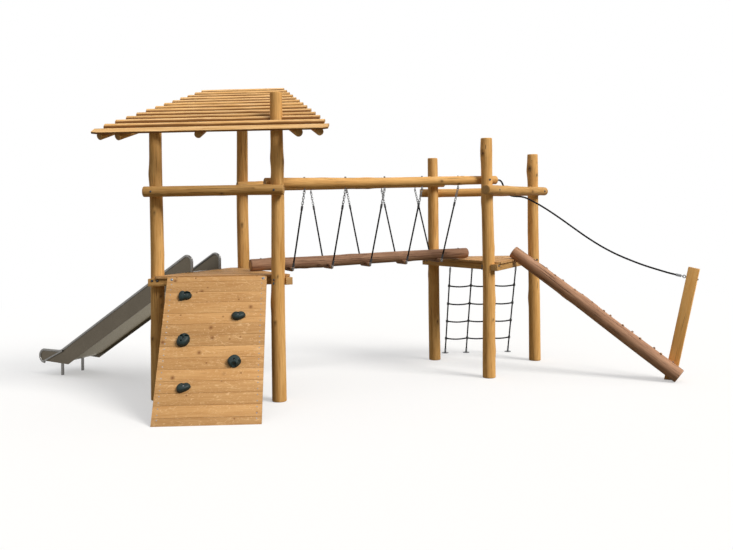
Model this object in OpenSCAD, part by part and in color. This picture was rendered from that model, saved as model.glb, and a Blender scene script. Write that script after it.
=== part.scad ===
// Wooden climbing frame of peeled logs: a roofed tower and an open tower, each on three posts,
// joined by a log bridge that swings on ropes. A climbing wall, a steel slide, a rope net and a
// log ramp with a hand rope lead up to the two decks.
// The foot of the roofed tower's front left post is the origin, X runs along that tower's front.

/* [Towers] */
// Distance between the post axes of a tower
tower_side = 1335; // [1300:5:1450]
// Diameter of a post at the ground
post_foot_d = 156; // [146:1:166]
// Loss of diameter of a post over each metre of height
post_taper = 8; // [0:1:12]
// Height of the roofed tower's deck
deck_z = 1350; // [1250:10:1450]
// Height of the front right post above the deck, through the roof
post_a_right_over = 1955; // [1850:5:2050]
// Height of the open tower's front post above its deck
post_b_front_over = 1490; // [1300:5:1600]
// Height of the open tower's right post above its deck
post_b_right_over = 1360; // [1200:5:1600]
// Height of the open tower's left post above its deck
post_b_left_over = 1332; // [1200:5:1600]

/* [Decks] */
// Width and height of the square deck beams
beam_size = 78; // [66:1:90]
// Depth to which a post is notched for a beam, rail or rafter
notch = 12; // [8:1:18]
// Length of a beam's head past its post
beam_head = 70; // [50:5:90]
// Thickness of a deck board
deck_t = 28; // [22:1:36]
// Width of a deck board
deck_board_w = 118; // [100:1:140]
// Gap between deck boards
deck_gap = 6; // [4:1:10]
// Overhang of the boards past the beams
deck_over = 16; // [8:1:24]
// Clearance of the boards round a post
deck_post_gap = 6; // [3:1:10]

/* [Rails] */
// Diameter of a guard rail
rail_d = 114; // [100:1:124]
// Height of the guard rails above the roofed tower's deck
rail_over = 908; // [860:2:930]
// Overhang of a rail's long end
rail_long = 180; // [140:5:220]
// Overhang of a rail's short end
rail_short = 96; // [80:2:140]
// Overhang of the front rail of the open tower at the front post
rail_front_over = 258; // [200:2:300]

/* [Roof] */
// Pitch of the roof
roof_pitch = 22.5; // [18:0.5:27]
// Height of the slats' underside above the deck at the near edge
roof_near_over = 1510; // [1480:5:1560]
// Distance of the near edge in front of the front posts
roof_front = 350; // [320:5:380]
// Number of half-round slats behind the fascia board
slat_count = 12; // [11:1:12]
// Distance of the first slat's middle from the near edge
slat_first = 260; // [230:1:280]
// Distance from the first slat to the second
slat_pitch = 145; // [138:1:150]
// Narrowing of the distance from each slat to the next, up the roof
slat_narrowing = 3.7; // [0:0.1:4]
// Width of a slat
slat_w = 94; // [80:1:100]
// Length of the fascia board at the near edge
fascia_l = 2520; // [2400:10:2600]
// Width between the lines of the slat ends, drawn out to the near edge
roof_near_w = 2660; // [2500:10:2700]
// Length of the last slat
roof_far_w = 980; // [900:10:1200]
// Thickness of the fascia board
fascia_t = 26; // [22:1:34]
// Width of the fascia board
fascia_w = 125; // [100:1:135]
// Diameter of a rafter
rafter_d = 88; // [76:1:100]
// Depth of the flat along a rafter's top
rafter_flat = 9; // [6:1:14]
// Distance of an edge rafter inside the slat ends
edge_inset = 140; // [100:5:160]

/* [Bridge] */
// Distance between the facing post rows of the two towers
bridge_gap = 2650; // [2500:10:2800]
// Rise of the bridge from the roofed tower to the open one
bridge_rise = 45; // [20:5:70]
// Height of the bridge beams above the deck
bridge_over = 987; // [960:1:1010]
// Diameter of a bridge beam at the roofed tower
bridge_d1 = 118; // [108:1:126]
// Diameter of a bridge beam at the open tower
bridge_d2 = 102; // [94:1:112]
// Overhang of the front beam past the open tower's front post
bridge_front_over = 205; // [190:1:220]
// Overhang of the beams at their other ends
bridge_over_end = 100; // [80:5:140]
// Distance between hangers
hanger_pitch = 490; // [460:5:520]
// First hanger behind the roofed tower's post row
hanger_first = 355; // [330:5:380]
// Diameter of the bridge log at the roofed tower
log_d1 = 124; // [112:1:134]
// Diameter of the bridge log at the open tower
log_d2 = 116; // [106:1:126]
// Clearance of the bridge log above the decks
log_clear = 16; // [12:1:30]
// Overhang of the bridge log over each deck
log_over = 112; // [90:2:140]
// Diameter of a cross bar under the bridge log
bar_d = 52; // [44:1:60]
// Depth to which a cross bar is let into the log
bar_let = 12; // [8:1:16]
// Distance of a cross bar's eye from the middle of the log
bar_eye_y = 132; // [122:1:145]

/* [Rope and chain] */
// Diameter of the net and hanger ropes
rope_d = 16; // [14:0.5:18]
// Wire diameter of a chain link and of a rope ring
link_wire = 8; // [7:0.25:9]
// Inner length of a chain link
link_in = 32; // [28:0.5:36]
// Inner width of a chain link
link_w = 14; // [12.5:0.25:16]
// Number of links in a chain
link_count = 5; // [3:1:6]
// Wire diameter of an eye
eye_wire = 10; // [9:0.25:11]
// Radius of an eye at the middle of its wire
eye_r = 16; // [15.5:0.25:17]
// Radius of a rope ring at the middle of its wire
ring_r = 14; // [13.5:0.25:15]
// Diameter of a rope sleeve
sleeve_d = 26; // [24:0.5:30]
// Length of a rope sleeve
sleeve_l = 56; // [44:1:70]
// Play between two pieces that hang in each other
hang_play = 0.3; // [0.2:0.05:0.5]
// Diameter of an eyebolt's shank and of a frame bolt
bolt_d = 12; // [10:1:14]

/* [Climbing wall] */
// Distance of the wall's foot from the front beam
wall_foot = 1043; // [950:5:1100]
// Distance of the wall's top from the front beam
wall_top = 100; // [95:1:110]
// Distance of the wall's top edge below the deck
wall_below = 8; // [6:1:14]
// Width of the wall
wall_w = 1050; // [1000:5:1080]
// Offset of the wall to the right
wall_right = 15; // [5:1:40]
// Width of a wall board
wall_board_w = 125; // [110:1:140]
// Thickness of a wall board
wall_board_t = 28; // [22:1:34]
// Height of the narrow board at the wall's top
wall_top_board = 58; // [50:1:110]
// Gap between wall boards
wall_gap = 2; // [1:0.5:4]
// Width of a wall stringer
stringer_w = 60; // [50:1:80]
// Depth of a wall stringer
stringer_d = 70; // [60:1:80]
// Distance of a stringer from the wall's edge
stringer_in = 20; // [10:1:40]
// Diameter of the bolt of a climbing hold
hold_bolt_d = 10; // [8:0.5:12]

/* [Slide] */
// Slope of the chute
slide_slope = 31.5; // [29:0.5:35]
// Width of the chute over its walls
slide_w = 520; // [480:5:560]
// Offset of the chute from the middle of its beam towards the back post
slide_back = 60; // [30:5:80]
// Thickness of the steel sheet
sheet_t = 4; // [3:0.5:6]
// Height of the chute's walls
slide_wall_h = 200; // [170:5:230]
// Height of the bed at the run-out
runout_z = 190; // [160:5:240]
// Height of the walls at the run-out
runout_wall_h = 130; // [110:5:150]
// Length of the run-out's level wall
runout_l = 365; // [320:5:420]
// Diameter of the tube along the walls' edges
rim_d = 30; // [24:1:36]
// Length of the walls' ears over the deck
ear_l = 60; // [50:2:90]
// Radius of the ears' corners
ear_r = 70; // [50:2:80]
// Diameter of a slide leg
leg_d = 38; // [32:1:44]
// Distance between the slide legs
leg_gap = 330; // [280:5:400]

/* [Net] */
// Number of upright net ropes
net_ropes_n = 4; // [3:1:4]
// Distance between upright net ropes
net_pitch = 298; // [270:1:320]
// Distance of the net's foot from the middle of the back beam
net_foot = 580; // [500:5:660]
// Distance of the net's top from the middle of the back beam
net_head = 28; // [20:1:32]
// Number of cross ropes
net_rows = 4; // [3:1:4]
// Distance between cross ropes
net_row_pitch = 280; // [260:2:300]
// Distance of the lowest cross rope from the foot
net_row_first = 235; // [200:2:260]
// Sag of a cross rope between two uprights
net_sag = 18; // [10:1:26]
// Diameter of a net clamp
clamp_d = 34; // [30:1:40]
// Length of a net clamp
clamp_l = 40; // [34:1:48]
// Diameter of a net foot plate
net_plate_d = 90; // [80:2:110]
// Thickness of a net foot plate
net_plate_t = 8; // [6:1:12]

/* [Ramp] */
// Diameter of the ramp log at its foot
ramp_d1 = 176; // [160:1:186]
// Diameter of the ramp log at its top
ramp_d2 = 158; // [146:1:168]
// Distance of the ramp's foot from the open tower's beam
ramp_reach = 1990; // [1850:10:2100]
// Distance of the ramp's top end from the beam
ramp_top = 30; // [10:2:60]
// Height of the ramp's axis over the deck at its top end
ramp_lift = 92; // [84:1:100]
// Offset of the ramp from the middle of the beam
ramp_side = -40; // [-80:5:0]
// Diameter of a foot peg
peg_d = 30; // [24:1:36]
// Height of a foot peg over the log
peg_over = 14; // [8:1:20]
// Distance of the lowest foot peg from the ramp's foot
peg_first = 150; // [120:2:180]
// Mean distance between foot pegs
peg_pitch = 140; // [125:1:145]
// Stray of a foot peg along the log
peg_stray = 26; // [0:1:30]

/* [Rope post] */
// Width of the rope post along the ramp
rope_post_w = 122; // [100:1:130]
// Thickness of the rope post
rope_post_t = 100; // [84:1:120]
// Height of the rope post
rope_post_h = 1315; // [1280:5:1340]
// Lean of the rope post away from the tower
rope_post_lean = 12; // [10:0.25:14]
// Distance of the post's foot from the ramp's foot
rope_post_in = 118; // [90:2:140]
// Diameter of the hand rope
hand_rope_d = 22; // [18:1:26]

/* [Hidden] */
$fn = 48;
big = 6000;
hanger_count = 5;
tan_roof = tan(roof_pitch);
tri_h = tower_side * sqrt(3) / 2;
function dir(a) = [cos(a), sin(a)];
function xyz(p, z) = [p.x, p.y, z];
function unit(v) = v / norm(v);

// Posts in order round each tower: front left, front right, back; then front, right, left
row_a = [tower_side * 3 / 4, tri_h / 2];
row_b = row_a + bridge_gap * dir(30);
POSTS = [
    [0, 0], [tower_side, 0], [tower_side / 2, tri_h],
    row_b - tower_side / 2 * dir(120), row_b + tri_h * dir(30), row_b + tower_side / 2 * dir(120)
];
function deck(t) = deck_z + t * bridge_rise;
function post_r(z) = post_foot_d / 2 - post_taper * z / 2000;

// Deck beams: each runs outside the post at its head and inside the post at its tail
beam_z = [for (t = [0, 1]) deck(t) - deck_t - beam_size / 2];
beam_off = post_r(deck_z) + beam_size / 2 - notch;
skew = asin(2 * beam_off / tower_side);
beam_half = tower_side / 2 * cos(skew);
function edge_head(t, k) = POSTS[3 * t + k];
function edge_tail(t, k) = POSTS[3 * t + (k + 1) % 3];
function edge_mid(t, k) = (edge_head(t, k) + edge_tail(t, k)) / 2;
function edge_angle(t, k) = 120 * k + 60 * t + skew;
tower_mid = [for (t = [0, 1]) (POSTS[3 * t] + POSTS[3 * t + 1] + POSTS[3 * t + 2]) / 3];
deck_in = tower_side / (2 * sqrt(3)) * cos(skew) + beam_size / 2 + deck_over;
deck_corner = tower_side / sqrt(3) + post_foot_d / 4;

// Guard rails: [post from, post to, overhang from, overhang to]
rail_z = deck_z + rail_over;
rail_off = post_r(rail_z) + rail_d / 2 - notch;
RAILS = [
    [0, 1, rail_short, rail_short],
    [3, 4, rail_front_over, rail_short + 15],
    [4, 5, rail_short, rail_long]
];

// Roof plane: the underside of the slats
roof_z = deck_z + roof_near_over;
roof_mid = tower_side / 2 + 12;
function slat_y(i) = slat_first + (i - 1) * slat_pitch - (i - 1) * (i - 2) / 2 * slat_narrowing;
roof_len = slat_y(slat_count) + slat_w / 2;
rafter_off = post_r(roof_z) + rafter_d / 2 - notch;
rafter_near = 26;
function on_roof(p) = [p.x - roof_mid, (p.y + roof_front) / cos(roof_pitch)];
function slat_half(y) = (roof_near_w + (roof_far_w - roof_near_w) * y / roof_len) / 2;
function roof_under(y) = roof_z + (y + roof_front) * tan_roof;
post_a_left_h = roof_under(post_foot_d);
post_a_back_h = roof_under(tri_h + post_foot_d);

// Bridge: x along the bridge from the roofed tower's post row, y across it
bridge_tilt = atan(bridge_rise / bridge_gap);
bridge_z = deck_z + bridge_over;
function bridge_lift(x) = x * bridge_rise / bridge_gap;
bridge_x0 = -bridge_over_end;
bridge_x1 = bridge_gap + bridge_front_over;
bridge_x2 = bridge_gap + bridge_over_end;
function bridge_r(x) = (bridge_d1 + (bridge_d2 - bridge_d1) * (x - bridge_x0) / (bridge_x1 - bridge_x0)) / 2;
bridge_y = tower_side / 2 - post_r(bridge_z) - bridge_r(0) + notch;
HANGER_X = [for (i = [0:hanger_count - 1]) hanger_first + i * hanger_pitch];
log_z = deck_z + log_clear + log_d1 / 2;
function log_r(x) = (log_d1 + (log_d2 - log_d1) * (x + log_over) / (bridge_gap + 2 * log_over)) / 2;
bar_drop = log_d2 / 2 + bar_d / 2 - bar_let;
bar_half = bar_eye_y - eye_r - eye_wire / 2;
eye_drop = bridge_d1 / 2 + eye_r + eye_wire;
eye_top = bridge_z - eye_drop;
eye_low = log_z - bar_drop;
hang_run = bridge_y - bar_eye_y;
hang_len = norm([hang_run, eye_top - eye_low]);
hang_angle = atan(hang_run / (eye_top - eye_low));
chain_step = link_in - hang_play;
chain_from = eye_r - eye_wire / 2 - hang_play;
ring_top = chain_from + link_count * chain_step + ring_r - link_wire / 2;
ring_low = hang_len - eye_r + eye_wire / 2 + hang_play - ring_r + link_wire / 2;
spot_d = 34;
spot_depth = 7;
head_d = 26;
head_h = 8;
bolt_rise = 18;
bolt_side = 28;
bolt_tail = 42;
nut_d = 22;
nut_h = 10;
washer_t = 3;
log_bolt_l = 20;
log_bevel = 14;
sleeve_cone = 8;
peg_let = 40;
ramp_bevel = 6;
foot_cut = 200;

// Climbing wall: height of its top edge, lean and length along the slope
wall_top_z = deck_z - wall_below;
wall_lean = atan((wall_foot - wall_top) / wall_top_z);
wall_len = norm([wall_foot - wall_top, wall_top_z]);
wall_full = floor((wall_len - wall_top_board - 30) / wall_board_w);
wall_bottom_board = wall_len - wall_top_board - wall_full * wall_board_w;
// Climbing holds: across from the wall's middle, down from its top edge
HOLDS = [[-320, 230], [247, 470], [-290, 735], [233, 985], [-244, 1245]];

// Slide: distance out from the deck's edge and height
slide_start = deck_z + sheet_t;
slide_tan = tan(slide_slope);
slide_out = beam_size / 2 + deck_over + 1;
runout_rim = runout_z + runout_wall_h;
bed_knee = (slide_start - runout_z) / slide_tan;
rim_knee = (slide_start + slide_wall_h - runout_rim) / slide_tan;
slide_end = rim_knee + runout_l;
wall_under = 26;
end_r = (runout_wall_h + wall_under) / 2;
rim_bend = 142;
bed_bend = 430;
lip_r = 9;
bed_flange = 40;
leg_at = bed_knee + 190;
leg_bar_z = runout_z - sheet_t - rim_d / 2;
brace_d = 22;
rim_let = 4;
rim_step = 0.4;
function chute(s) = slide_start - s * slide_tan;
function arc(c, r, a0, a1, n) = [for (i = [0:n]) c + r * dir(a0 + (a1 - a0) * i / n)];
ear_c = [ear_r - ear_l, chute(ear_r - ear_l) + slide_wall_h - ear_r / cos(slide_slope)];
bend_c = [rim_knee + rim_bend * tan(slide_slope / 2), runout_rim + rim_bend];
end_c = [slide_end - end_r, runout_rim - end_r];
// Plate of a wall inside its edge tube: up the ear, down the chute, along the run-out, round its end
WALL = concat(
    [[rim_d / 2 - ear_l, deck_z]],
    arc(ear_c, ear_r - rim_d / 2, 180, 90 - slide_slope, 8),
    arc(bend_c, rim_bend + rim_d / 2, 270 - slide_slope, 270, 4),
    arc(end_c, end_r - rim_d / 2, 90, -90, 12),
    [[bed_knee - 10, runout_z - wall_under], [2, slide_start - 34], [2, deck_z]]
);
BED = concat(
    [[-bed_flange, slide_start], [0, slide_start]],
    arc([bed_knee + bed_bend * tan(slide_slope / 2), runout_z + bed_bend],
        bed_bend, 270 - slide_slope, 270, 6),
    arc([slide_end - end_r - 4, runout_z - lip_r], lip_r, 90, 0, 5)
);
// Welded seams across the bed, at these of its points
BED_SEAMS = [2, 5, 8];
bed_seam = 0.3;
// Ways square to the bed at its points
BED_UP = concat(
    [90, 90 - slide_slope / 2],
    [for (i = [0:6]) 90 - slide_slope * (1 - i / 6)],
    [for (i = [0:5]) 90 - 18 * i]
);

// Net: from the eyes under the back beam down to plates on the ground
net_drop = 46;
net_top_z = beam_z[1] - beam_size / 2 - net_drop;
net_len = norm([net_foot - net_head, net_top_z - net_plate_t]);
net_lean = atan((net_foot - net_head) / (net_top_z - net_plate_t));
NET_X = [for (i = [0:net_ropes_n - 1]) (i - (net_ropes_n - 1) / 2) * net_pitch];
NET_ROWS = [for (i = [0:net_rows - 1]) net_row_first + i * net_row_pitch];
net_arc_r = (net_pitch * net_pitch / 4 + net_sag * net_sag) / (2 * net_sag);
net_sleeve = 60;
net_foot_eye = 70;

// Ramp: x across it, y out from the beam, axis from the foot up to the deck
ramp_foot_z = ramp_d1 / 2 * 0.74;
ramp_head_z = deck(1) + ramp_lift;
ramp_rise = atan2(ramp_head_z - ramp_foot_z, ramp_reach - ramp_top);
ramp_len = norm([ramp_head_z - ramp_foot_z, ramp_reach - ramp_top]);
function ramp_r(s) = (ramp_d1 + (ramp_d2 - ramp_d1) * s / ramp_len) / 2;
// Foot pegs: distance up the ramp from its foot, and turn to either side of its top
PEGS = [for (i = [0:14]) [peg_first + i * peg_pitch + peg_stray * sin(i * 137), 14 * sin(i * 200 + 40)]];
rope_post_y = ramp_reach - rope_post_in;
rope_post_x = ramp_side + ramp_d1 / 2 - 8;
rope_eye_z = rope_post_h - 92;
rope_eye_at = rope_post_w / 2 + eye_wire + eye_r;
rope_ring_z = rope_eye_at + eye_r - eye_wire / 2 - hang_play - link_wire / 2 + ring_r;
rope_end_sleeve = 60;

// Hand rope: from the front bridge beam's end, behind and under the front rail, to the rope post
HAND_ROPE = [
    [3774, 1545, 2386], [3800, 1562, 2381], [3822, 1590, 2363], [3840, 1625, 2331],
    [3862, 1670, 2288], [3886, 1710, 2246], [3920, 1745, 2210], [3966, 1773, 2190],
    [4020, 1788, 2184], [4076, 1790, 2179], [4136, 1780, 2163], [4210, 1759, 2125],
    [4300, 1732, 2072], [4420, 1696, 1991], [4560, 1654, 1888], [4700, 1612, 1780],
    [4840, 1570, 1674], [5000, 1522, 1565], [5160, 1474, 1474], [5320, 1426, 1400],
    [5480, 1378, 1336], [5640, 1332, 1283], [5740, 1302, 1252], [5812, 1275, 1234]
];
rope_ring_step = 60;

wood = "#d9a55c";
board = "#e0b377";
bark_brown = "#a8705a";
steel = "#8f8e8b";
zinc = "#b4b6b6";
black = "#2b2b2d";
green = "#1f3f3c";

// Places

module at_edge(t, k) {
    translate(xyz(edge_mid(t, k), 0)) rotate(edge_angle(t, k)) children();
}
module at_roof() {
    translate([roof_mid, -roof_front, roof_z]) rotate([roof_pitch, 0, 0]) children();
}
module at_bridge() {
    translate(xyz(row_a, 0)) rotate(30) children();
}
module at_wall() {
    at_edge(0, 0) translate([wall_right, -wall_foot, 0]) rotate([90 - wall_lean, 0, 0]) children();
}
// x out from the beam, y across to the back post, z up
module at_slide() {
    at_edge(0, 2) translate([-slide_back, -slide_out, 0]) rotate(-90) children();
}
// y up the slope from the ground plates, x along the back beam
module at_net() {
    at_edge(1, 1) translate([0, -net_foot, net_plate_t]) rotate([90 - net_lean, 0, 0]) children();
}
module at_rope_post() {
    at_edge(1, 0) translate([rope_post_x, -rope_post_y, 0]) rotate([rope_post_lean, 0, 0]) children();
}
module at_hanger(i, side) {
    x = HANGER_X[i];
    at_bridge() translate([x, side * bridge_y, eye_top + bridge_lift(x)])
        rotate([-side * hang_angle, 0, 0]) mirror([0, 0, 1]) children();
}

// Shared shapes

// Round log along +Z with a bevel at both ends
module log_body(l, d1, d2, bevel) {
    rotate_extrude() polygon([
        [0, 0], [d1 / 2 - bevel, 0], [d1 / 2, bevel], [d2 / 2, l - bevel], [d2 / 2 - bevel, l], [0, l]
    ]);
}
module ring(r, wire) {
    rotate_extrude() translate([r, 0]) circle(d = wire);
}
// Link in the XY plane, long along Y, with its inner end at y = 0
module link() {
    bend = (link_w + link_wire) / 2;
    straight = link_in - link_w;
    translate([0, bend - link_wire / 2, 0]) {
        rotate(180) rotate_extrude(angle = 180) translate([bend, 0]) circle(d = link_wire);
        translate([0, straight, 0]) rotate_extrude(angle = 180) translate([bend, 0]) circle(d = link_wire);
        for (s = [-1, 1]) translate([s * bend, 0, 0]) rotate([-90, 0, 0])
            cylinder(d = link_wire, h = straight);
    }
}
// Bolts of the frame: [post, direction, height, outer face from the post's axis, offset to the side]
function beam_bolts(t, k) = [
    [3 * t + k, edge_angle(t, k) - 90, beam_z[t] + bolt_rise, beam_off + beam_size / 2, bolt_side],
    [3 * t + k, edge_angle(t, k) - 90, beam_z[t] + bolt_rise, beam_off + beam_size / 2, -bolt_side],
    [3 * t + (k + 1) % 3, edge_angle(t, k) + 90, beam_z[t] - bolt_rise, beam_off + beam_size / 2, bolt_tail]
];
function rail_angle(r) = atan2((POSTS[r[1]] - POSTS[r[0]]).y, (POSTS[r[1]] - POSTS[r[0]]).x);
function rail_bolts(r) = [for (i = [0, 1]) [r[i], rail_angle(r) - 90, rail_z, rail_off + rail_d / 2, 0]];
// Posts that the bridge beams pass, with the way from the post to the beam
function bridge_bolts(side) = [for (t = [0, 1])
    [side < 0 ? (t == 0 ? 1 : 3) : (t == 0 ? 2 : 5), 30 - side * 90,
     bridge_z + t * bridge_rise, tower_side / 2 - bridge_y + bridge_r(t * bridge_gap), 0]];
BOLTS = concat(
    [for (t = [0, 1], k = [0:2]) each beam_bolts(t, k)],
    [for (r = RAILS) each rail_bolts(r)],
    [for (s = [-1, 1]) each bridge_bolts(s)]
);
function bolt_back(b) = sqrt(post_r(b[2]) * post_r(b[2]) - b[4] * b[4]);
module on_bolt(b) {
    translate(xyz(POSTS[b[0]], b[2])) rotate(b[1]) translate([0, b[4], 0]) rotate([0, 90, 0]) children();
}
module bolt(b) {
    from = bolt_back(b) - spot_depth;
    to = b[3] - spot_depth;
    on_bolt(b) rotate_extrude() polygon(concat(
        [[0, -from - head_h], [head_d / 2, -from - head_h], [head_d / 2, -from], [bolt_d / 2, -from],
         [bolt_d / 2, to], [head_d / 2, to]],
        arc([0, to + 2], head_d / 2, 0, 90, 5)
    ));
}
module bolt_cut(b) {
    on_bolt(b) {
        translate([0, 0, -post_foot_d / 2]) cylinder(d = bolt_d, h = b[3] + post_foot_d / 2);
        translate([0, 0, b[3] - spot_depth]) cylinder(d = spot_d, h = 60);
        translate([0, 0, spot_depth - bolt_back(b) - 60]) cylinder(d = spot_d, h = 60);
    }
}
module bolt_cuts(list) {
    for (b = list) bolt_cut(b);
}

// Towers

module beam_plan(t, k) {
    translate(edge_mid(t, k)) rotate(edge_angle(t, k)) translate([-beam_half - beam_head, -beam_size / 2])
        square([2 * beam_half + 2 * beam_head, beam_size]);
}
module at_beams(t) {
    translate([0, 0, beam_z[t] - beam_size / 2]) linear_extrude(beam_size) children();
}
module beam(t, k) {
    color(wood) difference() {
        at_beams(t) beam_plan(t, k);
        at_edge(t, (k + 1) % 3) translate([-big / 2, -big, 0]) cube([big, big + beam_size / 2, big]);
        bolt_cuts(beam_bolts(t, k));
    }
}
module rail_log(r) {
    from = POSTS[r[0]];
    span = norm(POSTS[r[1]] - from);
    translate(xyz(from, rail_z)) rotate(rail_angle(r)) translate([-r[2], -rail_off, 0]) rotate([0, 90, 0])
        log_body(span + r[2] + r[3], rail_d, rail_d - 4, 6);
}
module rail(r) {
    color(wood) difference() {
        rail_log(r);
        bolt_cuts(rail_bolts(r));
    }
}
module above_roof() {
    at_roof() translate([-big / 2, -big / 2, 0]) cube([big, big, big]);
}
module post_log(i, h) {
    translate(xyz(POSTS[i], 0)) log_body(h, post_foot_d, 2 * post_r(h), 8);
}
module post_cuts(i) {
    t = floor(i / 3);
    at_beams(t) for (k = [0:2]) beam_plan(t, k);
    for (r = RAILS) if (r[0] == i || r[1] == i) rail_log(r);
    bolt_cuts([for (b = BOLTS) if (b[0] == i) b]);
}
module post(i, h) {
    color(wood) difference() {
        post_log(i, h);
        post_cuts(i);
        for (s = [-1, 1]) bridge_beam_log(s);
        if (i < 3) main_rafter_logs();
        if (i == 0 || i == 2) above_roof();
    }
}
// Whole boards side by side along y, from just outside the first beam inwards
module deck_board_row(t) {
    step = deck_board_w + deck_gap;
    count = floor((deck_corner + deck_in) / step);
    for (i = [0:count - 1])
        translate([i * step - deck_in - deck_gap / 2, -2 * deck_in, deck(t) - deck_t])
            cube([deck_board_w, 4 * deck_in, deck_t]);
}
module deck_boards(t) {
    color(board) difference() {
        intersection() {
            translate(xyz(tower_mid[t], 0)) rotate(edge_angle(t, 0) + 90) deck_board_row(t);
            translate(xyz(tower_mid[t], 0)) rotate(edge_angle(t, 0) + 90)
                cylinder(r = 2 * deck_in, h = big, $fn = 3);
            translate(xyz(tower_mid[t], 0)) rotate(edge_angle(t, 0) - 90 - skew)
                cylinder(r = 2 * deck_corner, h = big, $fn = 3);
        }
        for (i = [0:2]) translate(xyz(POSTS[3 * t + i], 0))
            cylinder(r = post_r(deck(t)) + deck_post_gap, h = big);
    }
}
module frame_bolts() {
    color(black) for (b = BOLTS) bolt(b);
}

// Roof

// Log under the roof plane from p to q, with a flat along its top
module rafter(p, q, d) {
    v = q - p;
    translate([p.x, p.y, rafter_flat - d / 2]) rotate(atan2(v.y, v.x)) rotate([0, 90, 0])
        log_body(norm(v), d, d, 5);
}
main_left = POSTS[0] + rafter_off * dir(150);
main_right = POSTS[1] + rafter_off * dir(30);
main_far = tri_h + 90;
mid_foot = [roof_mid - 110, rafter_near - roof_front];
function along(p, a, y) = p + (y - p.y) / sin(a) * dir(a);
module main_rafter(p, a) {
    rafter(on_roof(along(p, a, rafter_near - roof_front)), on_roof(along(p, a, main_far)), rafter_d);
}
module main_rafter_logs() {
    at_roof() {
        main_rafter(main_left, 60);
        main_rafter(main_right, 120);
    }
}
module roof_rafters() {
    color(wood) difference() {
        union() {
            main_rafter_logs();
            difference() {
                at_roof() rafter(on_roof(mid_foot), on_roof(POSTS[2]), rafter_d - 6);
                post_log(2, post_a_back_h);
            }
            at_roof() for (s = [-1, 1]) rafter(
                [s * (slat_half(rafter_near) - edge_inset), rafter_near],
                [s * (slat_half(roof_len) - edge_inset), roof_len - 30], rafter_d - 8);
        }
        above_roof();
    }
}
module half_round(l, w) {
    rotate([90, 0, 90]) translate([0, 0, -l / 2]) linear_extrude(l) intersection() {
        circle(d = w);
        translate([-w, 0]) square([2 * w, w]);
    }
}
module roof_slats() {
    tip = 60;
    color(board) difference() {
        at_roof() {
            linear_extrude(fascia_t) polygon([
                [-fascia_l / 2, 24], [tip - fascia_l / 2, 0], [fascia_l / 2 - tip, 0], [fascia_l / 2, 24],
                [slat_half(fascia_w), fascia_w], [-slat_half(fascia_w), fascia_w]
            ]);
            for (i = [1:slat_count]) {
                y = slat_y(i);
                translate([0, y, 0]) half_round(2 * slat_half(y), slat_w);
            }
        }
        translate(xyz(POSTS[1], 0)) cylinder(r = post_r(roof_z) + 4, h = big);
    }
}

// Bridge

module bridge_beam_log(side) {
    x1 = side < 0 ? bridge_x1 : bridge_x2;
    at_bridge() translate([bridge_x0, side * bridge_y, bridge_z + bridge_lift(bridge_x0)])
        rotate([0, 90 - bridge_tilt, 0])
            log_body(x1 - bridge_x0, 2 * bridge_r(bridge_x0), 2 * bridge_r(x1), 6);
}
module bridge_beam(side) {
    color(wood) difference() {
        bridge_beam_log(side);
        bolt_cuts(bridge_bolts(side));
        for (x = HANGER_X) eyebolt_cut(x, side);
        if (side < 0) socket_cut();
    }
}
module on_eyebolt(x, side) {
    at_bridge() translate([x, side * bridge_y, bridge_z + bridge_lift(x)]) children();
}
module eyebolt_cut(x, side) {
    on_eyebolt(x, side) {
        translate([0, 0, -eye_drop]) cylinder(d = bolt_d, h = 2 * eye_drop);
        translate([0, 0, bridge_r(x) - spot_depth]) cylinder(d = spot_d, h = 40);
    }
}
module eyebolt(x, side) {
    seat = bridge_r(x) - spot_depth;
    on_eyebolt(x, side) {
        translate([0, 0, -eye_drop]) rotate([0, 90, 0]) ring(eye_r, eye_wire);
        translate([0, 0, eye_r - eye_drop]) cylinder(d = bolt_d, h = seat + eye_drop - eye_r);
        translate([0, 0, seat]) cylinder(d = spot_d - 6, h = washer_t);
        translate([0, 0, seat]) cylinder(d = nut_d, h = washer_t + nut_h, $fn = 6);
    }
}
module bridge_eyebolts() {
    color(zinc) for (x = HANGER_X, side = [-1, 1]) eyebolt(x, side);
}
module on_log(x) {
    at_bridge() translate([x, 0, log_z + bridge_lift(x)]) children();
}
module bar_body(x) {
    on_log(x) translate([0, bar_half, -bar_drop]) rotate([90, 0, 0]) log_body(2 * bar_half, bar_d, bar_d, 4);
}
LOG_BOLTS = [15, bridge_gap - 15];
module on_log_bolt(x) {
    on_log(x) translate([0, 0, log_r(x) - log_bolt_l - spot_depth]) children();
}
module bridge_log() {
    color(bark_brown) difference() {
        on_log(-log_over) rotate([0, 90 - bridge_tilt, 0])
            log_body(bridge_gap + 2 * log_over, log_d1, log_d2, log_bevel);
        for (x = HANGER_X) bar_body(x);
        for (x = LOG_BOLTS) on_log_bolt(x) {
            cylinder(d = bolt_d, h = log_d1 / 2);
            translate([0, 0, log_bolt_l]) cylinder(d = spot_d, h = log_d1 / 2);
        }
    }
}
bar_screw = 50;
module bar_eye_shank(x, side) {
    on_log(x) translate([0, side * (bar_half - bar_screw), -bar_drop]) rotate([-side * 90, 0, 0])
        cylinder(d = bolt_d, h = bar_screw + eye_wire / 2);
}
module log_cross_bars() {
    color(bark_brown) difference() {
        for (x = HANGER_X) bar_body(x);
        for (x = HANGER_X, side = [-1, 1]) bar_eye_shank(x, side);
    }
}
module log_bar_eyes() {
    color(zinc) for (x = HANGER_X, side = [-1, 1]) {
        on_log(x) translate([0, side * bar_eye_y, -bar_drop]) rotate([0, 90, 0]) ring(eye_r, eye_wire);
        bar_eye_shank(x, side);
    }
}
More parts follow.
